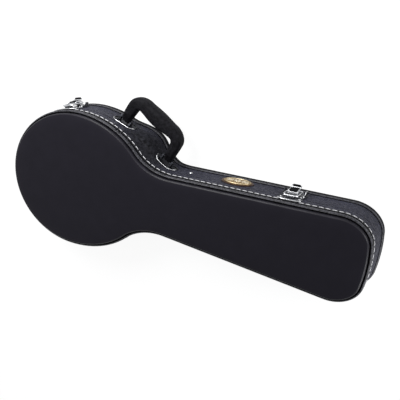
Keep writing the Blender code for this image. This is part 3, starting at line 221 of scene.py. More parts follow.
class Side:
    """Half of the outline, with a place and an outward direction for each arc position."""

    def __init__(self):
        self.points = half_outline()
        self.arc = [0.0]
        for a, b in zip(self.points, self.points[1:]):
            self.arc.append(self.arc[-1] + (b - a).length)
        self.length = self.arc[-1]
        self.normals = [self._normal(i) for i in range(len(self.points))]
        self.fine = self._spaced(2.5, 20 * MM)

    def _normal(self, i):
        if i == 0:
            return Vector((-1.0, 0.0))
        if i == len(self.points) - 1:
            return Vector((1.0, 0.0))
        run = self.points[i + 1] - self.points[i - 1]
        return Vector((-run.y, run.x)).normalized()

    def _spaced(self, turn, reach):
        found = [0.0]
        bend = 0.0
        for i in range(1, len(self.arc)):
            bend += math.degrees(self.normals[i].angle(self.normals[i - 1]))
            near = abs(self.arc[i] - SWELL_CENTRE) < SWELL_HALF_LENGTH
            if bend >= turn or self.arc[i] - found[-1] >= (4 * MM if near else reach):
                found.append(self.arc[i])
                bend = 0.0
        if self.length - found[-1] < 1 * MM:
            found.pop()
        return found + [self.length]

    def locate(self, s):
        """Place and outward direction at an arc position."""
        s = min(max(s, 0.0), self.length)
        low, high = 0, len(self.arc) - 1
        while high - low > 1:
            middle = (low + high) // 2
            if self.arc[middle] <= s:
                low = middle
            else:
                high = middle
        t = (s - self.arc[low]) / (self.arc[high] - self.arc[low])
        place = self.points[low].lerp(self.points[high], t)
        return place, self.normals[low].lerp(self.normals[high], t).normalized()


SIDE = Side()


def swell(s, z):
    """Outward swell of the handle side at an arc position and height."""
    offset = abs(s - SWELL_CENTRE) / SWELL_HALF_LENGTH
    if offset >= 1.0 or z >= SWELL_STAGES[-1][0]:
        return 0.0
    share = 1.0
    for (low, low_share), (high, high_share) in zip(SWELL_STAGES, SWELL_STAGES[1:]):
        if low < z <= high:
            share = low_share + (high_share - low_share) * (z - low) / (high - low)
    return SWELL_DEPTH * math.cos(math.pi / 2 * offset) ** 2 * share


def side_point(s, out, z, hand=1, swollen=True):
    """Point at an outward distance from the outline. hand is 1 on the handle side, -1 on the hinge side."""
    place, normal = SIDE.locate(s)
    extra = swell(s, z) if swollen and hand > 0 else 0.0
    spot = place + normal * (out + extra)
    return Vector((spot.x, spot.y * hand, z))


def loop_points(inset, z, swollen=True):
    """The whole closed outline at an inset and height."""
    first = [side_point(s, -inset, z, 1, swollen) for s in SIDE.fine]
    second = [side_point(s, -inset, z, -1) for s in reversed(SIDE.fine[1:-1])]
    return first + second


def local_frame(s, hand=1):
    """Matrix of a frame on the side: X along the outline, Y outward, Z up, at height zero."""
    place, normal = SIDE.locate(s)
    outward = Vector((normal.x, normal.y * hand, 0.0))
    up = Vector((0.0, 0.0, 1.0))
    along = outward.cross(up)
    turn = Matrix((along, outward, up)).transposed()
    return Matrix.Translation((place.x, place.y * hand, 0.0)) @ turn.to_4x4()


# Materials

class Finish:
    """A material under construction, with short calls for its nodes."""

    def __init__(self, name, colour, roughness, metallic=0.0, specular=0.5):
        self.material = bpy.data.materials.new(name)
        self.material.use_nodes = True
        self.tree = self.material.node_tree
        self.shader = self.tree.nodes["Principled BSDF"]
        self.shader.inputs["Base Color"].default_value = (*colour, 1.0)
        self.shader.inputs["Roughness"].default_value = roughness
        self.shader.inputs["Metallic"].default_value = metallic
        self.shader.inputs["Specular IOR Level"].default_value = specular
        self.place = self.node("ShaderNodeTexCoord").outputs["Object"]
        self.height = None

    def node(self, kind, **settings):
        """Adds a node and sets its properties or input values."""
        made = self.tree.nodes.new(kind)
        for key, value in settings.items():
            if hasattr(made, key):
                setattr(made, key, value)
            else:
                made.inputs[key.replace("_", " ")].default_value = value
        return made

    def link(self, source, target):
        self.tree.links.new(source, target)

    def noise(self, size, detail=3.0, rough=0.6):
        """Noise with features of a size in metres."""
        made = self.node("ShaderNodeTexNoise", Scale=1.0 / size, Detail=detail, Roughness=rough)
        self.link(self.place, made.inputs["Vector"])
        return made.outputs["Fac"]

    def cells(self, size, feature="F1"):
        """Cells of a size in metres."""
        made = self.node("ShaderNodeTexVoronoi", feature=feature, Scale=1.0 / size)
        self.link(self.place, made.inputs["Vector"])
        return made.outputs["Distance"]

    def ramp(self, value, low, high, start=0.3, end=0.7):
        """Colour between two colours by a value."""
        made = self.node("ShaderNodeValToRGB")
        made.color_ramp.elements[0].position = start
        made.color_ramp.elements[1].position = end
        made.color_ramp.elements[0].color = (*low, 1.0)
        made.color_ramp.elements[1].color = (*high, 1.0)
        self.link(value, made.inputs["Fac"])
        return made.outputs["Color"]

    def span(self, value, low, high, start=0.0, end=1.0):
        """A value between a start and an end mapped to a range."""
        made = self.node("ShaderNodeMapRange")
        made.inputs["From Min"].default_value = start
        made.inputs["From Max"].default_value = end
        made.inputs["To Min"].default_value = low
        made.inputs["To Max"].default_value = high
        self.link(value, made.inputs["Value"])
        return made.outputs["Result"]

    def colour_from(self, value, low, high, start=0.3, end=0.7):
        self.link(self.ramp(value, low, high, start, end), self.shader.inputs["Base Color"])

    def roughness_from(self, value, low, high, start=0.0, end=1.0):
        self.link(self.span(value, low, high, start, end), self.shader.inputs["Roughness"])

    def bump(self, value, strength, distance):
        """Adds a layer of bump over the ones before it."""
        made = self.node("ShaderNodeBump", Strength=strength, Distance=distance)
        self.link(value, made.inputs["Height"])
        if self.height:
            self.link(self.height, made.inputs["Normal"])
        self.height = made.outputs["Normal"]
        self.link(self.height, self.shader.inputs["Normal"])


def tint(colour, factor):
    return tuple(c * factor for c in colour)


def vinyl(name, colour, grain, strength, roughness, specular, mottle=(0.94, 1.07)):
    """Smooth grained vinyl: pebbled cells, broken up by noise, with slight changes of tone and gloss."""
    made = Finish(name, colour, roughness, specular=specular)
    made.colour_from(made.noise(28 * MM), tint(colour, mottle[0]), tint(colour, mottle[1]))
    made.roughness_from(made.noise(grain * 3, 4.0), roughness - 0.08, roughness + 0.1)
    made.bump(made.noise(60 * MM, 2.0), 0.05, 1.2 * MM)
    made.bump(made.cells(grain), strength, grain * 0.2)
    made.bump(made.noise(grain * 0.45, 4.0), strength * 0.5, grain * 0.08)
    return made.material


def hide_grain(name, colour, grain, roughness, specular, wrinkle, sheen=0.0):
    """Coarse leather-grained vinyl: creased patches of uneven tone and gloss over a pebbled grain."""
    made = Finish(name, colour, sum(roughness) / 2, specular=specular)
    if sheen:
        made.shader.inputs["Sheen Weight"].default_value = sheen
        made.shader.inputs["Sheen Roughness"].default_value = 0.4
        made.shader.inputs["Sheen Tint"].default_value = (0.60, 0.62, 1.0, 1.0)
    patches = made.noise(grain * 2.6, 4.0, 0.7)
    made.colour_from(patches, tint(colour, 0.3), tint(colour, 2.2), 0.38, 0.64)
    made.roughness_from(made.noise(grain * 2.0, 4.0, 0.7), *roughness, 0.36, 0.64)
    made.bump(patches, wrinkle, grain * 0.9)
    made.bump(made.cells(grain), 0.7, grain * 0.25)
    made.bump(made.noise(grain * 0.45, 4.0), 0.4, grain * 0.1)
    return made.material


def plush(name, colour):
    """Short pile: soft sheen, brushed patches and a fine nap."""
    made = Finish(name, colour, 0.95, specular=0.15)
    made.shader.inputs["Sheen Weight"].default_value = 0.55
    made.shader.inputs["Sheen Roughness"].default_value = 0.45
    made.colour_from(made.noise(22 * MM, 5.0, 0.7), tint(colour, 0.7), tint(colour, 1.45))
    made.bump(made.noise(0.7 * MM, 5.0, 0.8), 0.55, 0.6 * MM)
    made.bump(made.noise(14 * MM, 3.0), 0.25, 1.0 * MM)
    return made.material


def plated(name, colour, rough_low, rough_high):
    """Plated metal with a little uneven gloss and pressing marks."""
    made = Finish(name, colour, (rough_low + rough_high) / 2, metallic=1.0)
    made.roughness_from(made.noise(5 * MM, 5.0), rough_low, rough_high)
    made.colour_from(made.noise(12 * MM), tint(colour, 0.88), tint(colour, 1.1))
    made.bump(made.noise(9 * MM, 2.0), 0.05, 0.4 * MM)
    return made.material


def moulded(name, colour, roughness, specular=0.3, patch=15 * MM, mottle=(0.85, 1.2)):
    """Moulded plastic with a fine pebbled surface."""
    made = Finish(name, colour, roughness, specular=specular)
    made.colour_from(made.noise(patch), tint(colour, mottle[0]), tint(colour, mottle[1]))
    made.roughness_from(made.noise(6 * MM, 4.0), roughness - 0.06, roughness + 0.08)
    made.bump(made.cells(1.1 * MM), 0.25, 0.12 * MM)
    return made.material


def thread(name):
    """Twisted white thread."""
    made = Finish(name, (0.80, 0.80, 0.82), 0.75, specular=0.3)
    made.colour_from(made.noise(2.5 * MM, 4.0), (0.70, 0.70, 0.73), (0.86, 0.86, 0.88))
    twist = made.node("ShaderNodeTexWave", Scale=900.0, Distortion=2.0, bands_direction="DIAGONAL")
    made.link(made.place, twist.inputs["Vector"])
    made.bump(twist.outputs["Fac"], 0.5, 0.15 * MM)
    return made.material


def gold(name, colour):
    """Satin gold-coloured metal with random darker and lighter patches."""
    made = Finish(name, colour, 0.36, metallic=1.0)
    made.colour_from(made.noise(3.5 * MM, 5.0, 0.7), tint(colour, 0.78), tint(colour, 1.18))
    made.roughness_from(made.noise(2 * MM, 4.0), 0.28, 0.5)
    made.bump(made.noise(1.2 * MM, 4.0), 0.25, 0.15 * MM)
    return made.material


def woven(name, colour, specular=0.2):
    """Cloth with a plain weave."""
    made = Finish(name, colour, 0.85, specular=specular)
    made.colour_from(made.noise(10 * MM, 4.0), tint(colour, 0.8), tint(colour, 1.3))
    for direction in ("X", "Z"):
        threads = made.node("ShaderNodeTexWave", Scale=420.0, Distortion=0.6, bands_direction=direction)
        made.link(made.place, threads.inputs["Vector"])
        made.bump(threads.outputs["Fac"], 0.35, 0.2 * MM)
    return made.material


FACE = vinyl("face_vinyl", (0.0146, 0.0136, 0.0192), 1.3 * MM, 0.16, 0.42, 0.06)
# A lighter, glossier copy of the face vinyl for the rolled edge: its lighter colour is a painted highlight
FACE_EDGE_HIGHLIGHT = vinyl("face_edge_highlight_vinyl", (0.0155, 0.0145, 0.0200), 1.3 * MM, 0.12, 0.30, 0.22, (0.7, 1.5))
WALL = hide_grain("side_vinyl", (0.0130, 0.0130, 0.0160), 2.4 * MM, (0.26, 0.72), 0.10, 0.9, 0.12)
BINDING = hide_grain("binding_vinyl", (0.0160, 0.0160, 0.0195), 1.6 * MM, (0.24, 0.48), 0.16, 0.35)
# A lighter copy of the binding vinyl: painted highlight on the front bead and on the rear welt's crest
BEAD_HIGHLIGHT = hide_grain("bead_highlight_vinyl", (0.0370, 0.0370, 0.0440), 1.6 * MM, (0.20, 0.40), 0.26, 0.35)
# A much darker copy of the binding vinyl: painted shade on the rear welt's lower roll
WELT_SHADE = hide_grain("welt_shade_vinyl", (0.0050, 0.0050, 0.0060), 1.6 * MM, (0.45, 0.7), 0.04, 0.35)
LINING = plush("plush_lining", (0.018, 0.016, 0.020))
CHROME = plated("bright_chrome", (0.72, 0.73, 0.75), 0.08, 0.22)
# Dark plated metal: painted shade and painted dark reflections on plates, rims, rivets and pins
SHADE_PLATE = plated("shaded_plate", (0.045, 0.047, 0.055), 0.25, 0.5)
# Darker copy of the chrome: painted dark reflections on the latch bases and keepers
DARK_REFLECTION_PLATE = plated("dark_reflection_plate", (0.105, 0.108, 0.118), 0.2, 0.42)
STEEL = plated("hinge_plate", (0.42, 0.43, 0.45), 0.16, 0.32)
HANDLE = moulded("handle_plastic", (0.0090, 0.0088, 0.0108), 0.52, 0.06, 5 * MM, (0.4, 1.7))
TIP = moulded("tip_plastic", (0.004, 0.004, 0.005), 0.5, 0.03)
THREAD = thread("white_thread")
GOLD = gold("badge_gold", (0.38, 0.26, 0.12))
PALE_GOLD = gold("badge_relief_gold", (0.76, 0.65, 0.44))
LEAF_GOLD = gold("badge_leaf_gold", (0.95, 0.88, 0.72))
BROWN = moulded("badge_enamel", (0.045, 0.020, 0.010), 0.35)
CLOTH = woven("lining_cloth", (0.010, 0.010, 0.012))
# Near-black cloth for the cords: painted shade in the groove and seams
SHADE_CORD_CLOTH = woven("groove_shade_cord", (0.003, 0.003, 0.0035), 0.05)


# Meshes

def add_piece(name, points, faces, finish, body, sharp=38):
    """Makes a piece from points and faces, gives it a finish and lets it ride on a body."""
    mesh = bpy.data.meshes.new(name)
    mesh.from_pydata([tuple(p) for p in points], [], faces)
    work = bmesh.new()
    work.from_mesh(mesh)
    bmesh.ops.recalc_face_normals(work, faces=work.faces)
    work.to_mesh(mesh)
    work.free()
    mesh.shade_smooth()
    mesh.set_sharp_from_angle(angle=math.radians(sharp))
    mesh.materials.append(finish)
    made = bpy.data.objects.new(name, mesh)
    bpy.context.collection.objects.link(made)
    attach(made, body)
    return made


def join_rings(rings, closed=False, capped=True, start=0):
    """Faces between rings of equal count, and their points."""
    count = len(rings[0])
    points = [p for ring in rings for p in ring]
    faces = []
    total = len(rings)
    for r in range(total if closed else total - 1):
        a, b = start + r * count, start + (r + 1) % total * count
        for i in range(count):
            j = (i + 1) % count
            faces.append((a + i, a + j, b + j, b + i))
    if capped and not closed:
        faces.append(tuple(start + i for i in range(count)))
        faces.append(tuple(start + (total - 1) * count + i for i in range(count)))
    return points, faces


def sweep(name, profile, finish, body, closed=False, swollen=True, sharp=38):
    """A piece with the case's outline from a profile of inset and height."""
    points, faces = join_rings([loop_points(inset, z, swollen) for inset, z in profile], closed)
    return add_piece(name, points, faces, finish, body, sharp)


def second_finish(piece, finish, chosen):
    """Gives the chosen faces of a piece a second finish."""
    piece.data.materials.append(finish)
    for face in piece.data.polygons:
        if chosen(face):
            face.material_index = 1


def quarter(inset, z, radius, start, end, count):
    """Profile points of an arc about a centre, by angle in degrees. 0 points inward and 90 up."""
    turns = [math.radians(start + (end - start) * i / (count - 1)) for i in range(count)]
    return [(inset + radius * math.cos(a), z + radius * math.sin(a)) for a in turns]


def many(name, parts, finish, body, sharp=38):
    """Joins several loose shapes, each a pair of rings and a closed flag, in one piece."""
    points, faces = [], []
    for rings, closed in parts:
        some, more = join_rings(rings, closed, start=len(points))
        points += some
        faces += more
    return add_piece(name, points, faces, finish, body, sharp)


def dome_rings(place, axis, radius, height, segments=16, foot=0.25):
    """Rings of a low domed head that stands on a surface."""
    along = axis.normalized()
    turn = along.to_track_quat("Z", "Y").to_matrix()
    profile = [(-0.3 * MM, radius), (height * foot, radius)]
    profile += [(height * (foot + (1 - foot) * math.sin(a)), radius * math.cos(a) * 0.98 + radius * 0.02)
                for a in (math.radians(d) for d in (20, 40, 58, 74, 88))]
    rings = []
    for rise, r in profile:
        turns = [2 * math.pi * i / segments for i in range(segments)]
        rings.append([place + along * rise + turn @ Vector((r * math.cos(a), r * math.sin(a), 0.0)) for a in turns])
    return rings


def tube_rings(route, radius, segments=8, reference=Vector((0.0, 0.0, 1.0)), flat=1.0):
    """Rings of a round or flattened tube along points."""
    rings = []
    for i, spot in enumerate(route):
        run = (route[min(i + 1, len(route) - 1)] - route[max(i - 1, 0)]).normalized()
        first = (reference - run * reference.dot(run)).normalized()
        second = run.cross(first)
        turns = [2 * math.pi * k / segments for k in range(segments)]
        rings.append([spot + first * (radius * math.cos(a)) + second * (radius * flat * math.sin(a)) for a in turns])
    return rings


# Shells

def stage_profile(inset, low, high):
    """Outer face of a side between two heights, as points about 4 mm apart."""
    count = max(int((high - low) / (4 * MM)), 2)
    return [(inset, low + (high - low) * i / count) for i in range(count + 1)]


def build_shells():
    """Outer covers of the bottom shell and of the lid."""
    low = PANEL_THICKNESS
    under = [(6.0 * MM, 0.0)] + quarter(6.0 * MM, 6.0 * MM, 6.0 * MM, 270, 180, 8)[1:]
    bottom = sweep("bottom_cover", under + [(4.0 * MM, low)], WALL, CASE, sharp=50)
    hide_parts("bottom_panel")

    seam = SEAM - SEAM_GAP / 2
    roll = quarter(WALL_INSET + SEAM_ROLL, seam - SEAM_ROLL, SEAM_ROLL, 180, 90, 5)
    foot = PANEL_THICKNESS + 0.3 * MM
    shelf = REAR_WELT_TOP + 0.3 * MM
    profile = [(WALL_INNER, foot), (REBATE, foot), (REBATE, shelf), (2.2 * MM, shelf + 0.2 * MM)]
    profile += [(1.5 * MM, shelf + 1.6 * MM)]
    profile += stage_profile(WALL_INSET, shelf + 3.6 * MM, seam - SEAM_ROLL)[:-1] + roll + [(WALL_INNER, seam)]
    side = sweep("bottom_side_cover", profile, WALL, CASE, closed=True)
    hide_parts("bottom_side_handle", "bottom_side_hinge")

    seam = SEAM + SEAM_GAP / 2
    roll = quarter(WALL_INSET + SEAM_ROLL, seam + SEAM_ROLL, SEAM_ROLL, 270, 180, 5)
    shelf = BAND_BOTTOM - 0.3 * MM
    profile = [(LID_WALL_INNER, seam)] + roll
    profile += stage_profile(WALL_INSET, seam + SEAM_ROLL, shelf)[1:]
    profile += [(REBATE, shelf), (REBATE, LID_SIDE_TOP), (LID_WALL_INNER, LID_SIDE_TOP)]
    side = sweep("lid_side_cover", profile, WALL, LID, closed=True)
    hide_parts("lid_side_handle", "lid_side_hinge")

    edge = quarter(10.2 * MM, 107.6 * MM, 4.6 * MM, 180, 104, 12)
    crown = [(16 * MM, 113.25 * MM), (22 * MM, 113.75 * MM), (30 * MM, 114.2 * MM), (40 * MM, LID_CROWN)]
    under = [(16 * MM, 108.6 * MM), (9.5 * MM, 102.0 * MM), (5.6 * MM, 102.0 * MM)]
    panel = sweep("lid_panel_cover", under + edge + crown, FACE, LID, swollen=False, sharp=60)
    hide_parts("lid_panel")
    # The rolled edge's steep faces get the lighter vinyl, a painted highlight
    second_finish(panel, FACE_EDGE_HIGHLIGHT, lambda face: face.normal.z < EDGE_STEEPNESS and face.center.z > EDGE_LOW)


def build_bindings():
    """The lid's stitched band with its bead, and the welt round the bottom edge."""
    bead_middle = (BEAD_BOTTOM + BEAD_TOP) / 2
    bead = quarter(2.6 * MM, bead_middle + 0.2 * MM, 2.75 * MM, 252, 90, 14)
    stretched = [(inset, bead_middle + (z - bead_middle) * 1.42) for inset, z in bead]
    band = quarter(1.3 * MM, BAND_BOTTOM + 0.7 * MM, 0.7 * MM, 270, 180, 4)
    band += [(0.55 * MM, 87.0 * MM), (0.8 * MM, 88.0 * MM), (0.5 * MM, 89.2 * MM), (0.35 * MM, 91.6 * MM)]
    band += [(0.6 * MM, 93.2 * MM), (1.7 * MM, 94.6 * MM), (2.0 * MM, 95.3 * MM)]
    profile = [(2.7 * MM, BAND_BOTTOM)] + band + stretched + [(2.7 * MM, BEAD_TOP - 0.4 * MM)]
    made = sweep("front_binding", profile, BINDING, LID, closed=True, sharp=48)
    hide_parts("front_welt")
    # The bead's faces get the lighter vinyl, a painted highlight
    second_finish(made, BEAD_HIGHLIGHT, lambda face: face.center.z > BEAD_BOTTOM)

    foot = PANEL_THICKNESS + 0.3 * MM
    low = quarter(1.2 * MM, foot + 3.0 * MM, 3.0 * MM, 262, 180, 6)
    crest = REAR_WELT_TOP - 2.8 * MM
    high = quarter(1.2 * MM, crest, 3.0 * MM, 180, 98, 7)
    high = [(inset, min(z, REAR_WELT_TOP)) for inset, z in high]
    profile = [(2.7 * MM, foot)] + low + [(-2.1 * MM, 13.0 * MM)] + high + [(2.9 * MM, REAR_WELT_TOP)]
    # The rear welt's roll below its crest is in the darker vinyl, painted shade
    made = sweep("rear_binding", profile, WELT_SHADE, CASE, closed=True, sharp=48)
    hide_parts("rear_welt")
    # The welt's crest gets the lighter vinyl, a painted highlight
    second_finish(made, BEAD_HIGHLIGHT, lambda face: face.center.z > crest)


def build_shade_cords():
    """Black cords in the groove between the lid's panel and its binding, and in the seams at bead and welt: painted
    shade that darkens these hollows.
    """
    profile = [(3.0 * MM, 101.9 * MM), (3.1 * MM, 102.5 * MM), (4.2 * MM, 102.9 * MM), (5.3 * MM, 102.5 * MM),
               (5.4 * MM, 101.9 * MM)]
    sweep("lid_groove_shade_cord", profile, SHADE_CORD_CLOTH, LID, closed=True, swollen=False, sharp=80)
    seam = quarter(BEAD_SHADE_CORD[0], BEAD_SHADE_CORD[1], SHADE_CORD_RADIUS, 0, 324, 10)
    sweep("lid_seam_shade_cord", seam, SHADE_CORD_CLOTH, LID, closed=True, swollen=False, sharp=80)
    seam = quarter(REAR_SHADE_CORD[0], REAR_SHADE_CORD[1], SHADE_CORD_RADIUS, 0, 324, 10)
    sweep("rear_seam_shade_cord", seam, SHADE_CORD_CLOTH, CASE, closed=True, sharp=80)


def build_stitches():
    """Long white stitches in the front band, the whole way round except under the keepers' aprons."""
    parts = []
    count = round(SIDE.length / STITCH_PITCH)
    pitch = SIDE.length / count
    shape = ((-0.5, -0.9), (-0.46, -0.25), (-0.3, 0.25), (0.0, 0.36), (0.3, 0.25), (0.46, -0.25), (0.5, -0.9))
    for hand in (1, -1):
        for i in range(count):
            middle = (i + 0.5) * pitch
            if hand > 0 and min(abs(middle - place) for place in LATCH_PLACES.values()) < APRON_HALF:
                continue
            route = [side_point(middle + t * STITCH_LENGTH, -0.75 * MM + rise * STITCH_RADIUS, STITCH_HEIGHT, hand)
                     for t, rise in shape]
            parts.append((tube_rings(route, STITCH_RADIUS, 8, flat=0.8), False))
    many("front_stitches", parts, THREAD, LID, sharp=80)


# Lining

def soften(piece, amount, size):
    """Moves a soft piece's points a little along their normals, so that no face is quite flat."""
    for vertex in piece.data.vertices:
        wave = noise.noise(vertex.co / size) + 0.5 * noise.noise(vertex.co / (size * 0.4))
        vertex.co += vertex.normal * (wave * amount)


def lining_piece(name, profile, body, closed, nodes):
    """A padded lining that follows the outline, with soft edges."""
    made = sweep(name, profile, LINING, body, closed=closed, swollen=False, sharp=75)
    soften(made, 0.22 * MM, 18 * MM)
    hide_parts(*nodes)
    return made


def build_lining():
    """Floor, side and lid linings."""
    foot = PANEL_THICKNESS + 0.5 * MM
    edge = quarter(LINING_OUTER + 3.0 * MM, FLOOR_TOP - 3.0 * MM, 2.8 * MM, 180, 90, 6)
    floor = [(LINING_OUTER + 0.2 * MM, foot)] + edge
    floor += [(14 * MM, 11.6 * MM), (20 * MM, 11.4 * MM), (30 * MM, 11.7 * MM), (40 * MM, 11.8 * MM)]
    lining_piece("floor_lining", floor, CASE, False, ["floor_padding"])

    low = FLOOR_TOP + 0.6 * MM
    rim = 9.0 * MM
    outer = [(LINING_OUTER + 0.2 * MM, low), (LINING_OUTER + 0.2 * MM, 55.4 * MM), (rim, 55.6 * MM), (rim, 63.5 * MM)]
    top = quarter(rim + 1.6 * MM, SIDE_LINING_TOP - 1.8 * MM, 1.6 * MM, 180, 20, 7)
    face = [(LINING_INNER - 0.5 * MM, 62.0 * MM), (LINING_INNER - 0.3 * MM, 56 * MM), (LINING_INNER - 0.3 * MM, 40 * MM),
            (LINING_INNER - 0.3 * MM, 24 * MM), (LINING_INNER - 0.6 * MM, 16 * MM), (LINING_INNER - 1.6 * MM, low)]
    lining_piece("side_lining", outer + top + face, CASE, True, ["side_padding_handle", "side_padding_hinge"])

    edge = quarter(9.4 * MM, LID_CEILING + 3.2 * MM, 3.1 * MM, 180, 270, 6)
    pad = [(17 * MM, LID_PAD_TOP - 0.2 * MM), (10.2 * MM, 101.5 * MM), (6.3 * MM, 101.4 * MM)] + edge
    pad += [(16 * MM, 98.2 * MM), (24 * MM, 98.7 * MM), (32 * MM, 98.3 * MM), (40 * MM, 98.0 * MM)]
    lining_piece("lid_pad", pad, LID, False, ["lid_padding"])

    high = LID_CEILING - 0.4 * MM
    strip = [(6.4 * MM, 79.2 * MM), (6.4 * MM, high), (8.2 * MM, high), (9.0 * MM, high - 1.4 * MM),
             (9.0 * MM, 84 * MM), (8.6 * MM, 80.2 * MM), (7.6 * MM, 79.1 * MM)]
    lining_piece("lid_side_lining", strip, LID, True, ["lid_lining_handle", "lid_lining_hinge"])


def node_copy(node, name, finish, body, bevel, segments=4, levels=0):
    """A softened copy of a plain solid: rounded edges, then a light subdivision."""
    source = frame["nodes"][node]
    mesh = source.data.copy()
    mesh.materials.clear()
    mesh.materials.append(finish)
    made = bpy.data.objects.new(name, mesh)
    made.matrix_world = source.matrix_world.copy()
    bpy.context.collection.objects.link(made)
    work = bmesh.new()
    work.from_mesh(mesh)
    bmesh.ops.dissolve_limit(work, angle_limit=math.radians(2), verts=work.verts, edges=work.edges)
    work.to_mesh(mesh)
    work.free()
    rounding = made.modifiers.new("rounding", "BEVEL")
    rounding.width = bevel
    rounding.segments = segments
    rounding.limit_method = "ANGLE"
    rounding.angle_limit = math.radians(30)
    if levels:
        smooth = made.modifiers.new("smooth", "SUBSURF")
        smooth.levels = smooth.render_levels = levels
    mesh.shade_smooth()
    mesh.set_sharp_from_angle(angle=math.radians(60))
    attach(made, body)
    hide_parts(node)
    return made


def build_interior():
    """Neck cradle, cross wall, and the pocket flap with its ribbon pull."""
    for node, bevel in (("neck_cradle", 3.2 * MM), ("cross_wall", 2.6 * MM)):
        made = node_copy(node, node + "_cushion", LINING, CASE, bevel, 5)
    flap = node_copy("pocket_flap", "pocket_flap_cushion", LINING, "flap", 1.0 * MM, 4)

    low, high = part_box("flap_pull")
    middle = (low + high) / 2 if isinstance(low, Vector) else Vector([(a + b) / 2 for a, b in zip(low, high)])
    half = (high[0] - low[0]) / 2
    parts = []
    rise = high[2] - low[2]
    line = [(-half, 0.25 * MM), (-half * 0.4, 0.35 * MM), (0.0, rise * 0.5), (half * 0.55, rise * 0.92),
            (half * 0.95, rise * 0.72), (half, rise * 0.4), (half * 0.6, 0.45 * MM)]
    for side in (0,):
        top = [Vector((middle.x + x, middle.y - 5.6 * MM + side, low[2] + z)) for x, z in line]
        rings = []
        for spot in top:
            rings.append([spot, spot + Vector((0, 11.2 * MM, 0)), spot + Vector((0, 11.2 * MM, 0.45 * MM)),
                          spot + Vector((0, 0, 0.45 * MM))])
        parts.append((rings, False))
    pull = many("flap_ribbon", parts, CLOTH, "flap", sharp=50)
    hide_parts("flap_pull")


# Hardware

def dress_nodes():
    """Gives the CAD nodes that stay in view their finishes, with small rounded edges."""
    finishes = {"chrome": CHROME, "plastic": TIP, "board": CLOTH, "gold": GOLD, "badge_border": BROWN,
                "vinyl": WALL, "welt": BINDING, "plush": LINING}
    # Latch bases, keepers, handle plates and pins get darker metal: painted dark reflections
    shaded = {"latch_base": DARK_REFLECTION_PLATE, "keeper": DARK_REFLECTION_PLATE, "handle_plate": SHADE_PLATE, "handle_pin": SHADE_PLATE,
              "hinge_lower": STEEL, "hinge_upper": STEEL}
    slots = {entry["node"]: entry["material_slot"] for entry in frame["record"]["subparts"]}
    for node, piece in frame["nodes"].items():
        stem = node.rsplit("_", 1)[0]
        piece.data.materials.clear()
        piece.data.materials.append(shaded.get(stem, finishes[slots[node]]))
        if slots[node] == "chrome":
            rounding = piece.modifiers.new("rounding", "BEVEL")
            rounding.width = 0.22 * MM
            rounding.segments = 2
            rounding.limit_method = "ANGLE"
            rounding.angle_limit = math.radians(40)


def rivet(s, z, radius, height, out=PLATE_FACE):
    """A domed rivet head on the side, at an arc position and height."""
    spot = side_point(s, out, z)
    return dome_rings(spot, spot - side_point(s, out - 5 * MM, z), radius, height), False


def build_latch(label, place):
    """Rivets, rolled guard edges, the keeper's bead and the lever's rims of one latch."""
    rivets = [rivet(place + s, 62.3 * MM, 2.2 * MM, 1.4 * MM) for s in (-15.8 * MM, 15.8 * MM)]
    many(f"latch_{label}_rivets", rivets, CHROME, CASE, sharp=50)

    guard = [(0.7 * MM, GUARD_FOOT), (GUARD_HIGH - 2.0 * MM, GUARD_FOOT + 0.2 * MM),
             (GUARD_HIGH, GUARD_FOOT + 3.0 * MM), (GUARD_HIGH, GUARD_STEP_Z - 3.0 * MM),
             (GUARD_LOW + 1.6 * MM, GUARD_STEP_Z), (GUARD_LOW, GUARD_STEP_Z + 2.6 * MM),
             (GUARD_LOW, GUARD_HEAD - 1.8 * MM), (0.7 * MM, GUARD_HEAD)]
    parts = []
    for sign in (-1, 1):
        s = place + sign * GUARD_MIDDLE
        route = [side_point(s, out, z) for out, z in smooth_route(guard, 4)]
        _, normal = SIDE.locate(s)
        along = Vector((normal.y, -normal.x, 0.0))
        parts.append((tube_rings(route, 0.8 * MM, 10, reference=along), False))
    # The rim towards the tail is dark plate, painted shade; the one towards the head is bright chrome
    many(f"latch_{label}_guard_rim_dark", parts[:1], SHADE_PLATE, CASE, sharp=80)
    many(f"latch_{label}_guard_rim_bright", parts[1:], CHROME, CASE, sharp=80)

    foot = rounded_route(place, 18.4 * MM, 37.6 * MM, 64.6 * MM, 2.4 * MM)
    many(f"latch_{label}_border", [(tube_rings(foot, 0.5 * MM, 8)[:-1], True)], STEEL, CASE, sharp=80)

    studs = [rivet(place + s, 76.6 * MM, 2.3 * MM, 1.4 * MM) for s in (-17.2 * MM, 17.2 * MM)]
    many(f"keeper_{label}_rivets", studs, CHROME, LID, sharp=50)
    sides = []
    for sign in (-1, 1):
        s = place + sign * (LATCH_HALF - 0.8 * MM)
        ends = [side_point(s, 0.7 * MM, z) for z in (72.4 * MM, 76 * MM, 80 * MM, KEEPER_TOP - 0.7 * MM)]
        sides.append((tube_rings(ends, 0.55 * MM, 8, reference=Vector((1.0, 0.3, 0.0))), False))
    many(f"keeper_{label}_sides", sides, CHROME, LID, sharp=80)
    build_apron(label, place)
    build_lever_dress(label, place)


def build_apron(label, place):
    """The keeper's front edge: a plate that laps over the band, bowed outward, with a rolled lip."""
    rings = []
    lip = []
    for t in spread(-1.0, 1.0, 21):
        s = place + t * LATCH_HALF + APRON_TAIL[label] * min(t - 1.0, 0.0) / 2
        high = APRON_TOP - 5.2 * MM * t ** 4
        rings.append([side_point(s, out, z) for out, z in
                      ((0.25 * MM, KEEPER_TOP - 1.0 * MM), (0.25 * MM, high), (0.95 * MM, high),
                       (0.95 * MM, KEEPER_TOP - 1.0 * MM))])
        lip.append(side_point(s, 1.0 * MM, high))
    many(f"keeper_{label}_apron", [(rings, False)], CHROME, LID, sharp=50)
    many(f"keeper_{label}_lip", [(tube_rings(lip, 1.0 * MM, 10), False)], CHROME, LID, sharp=80)


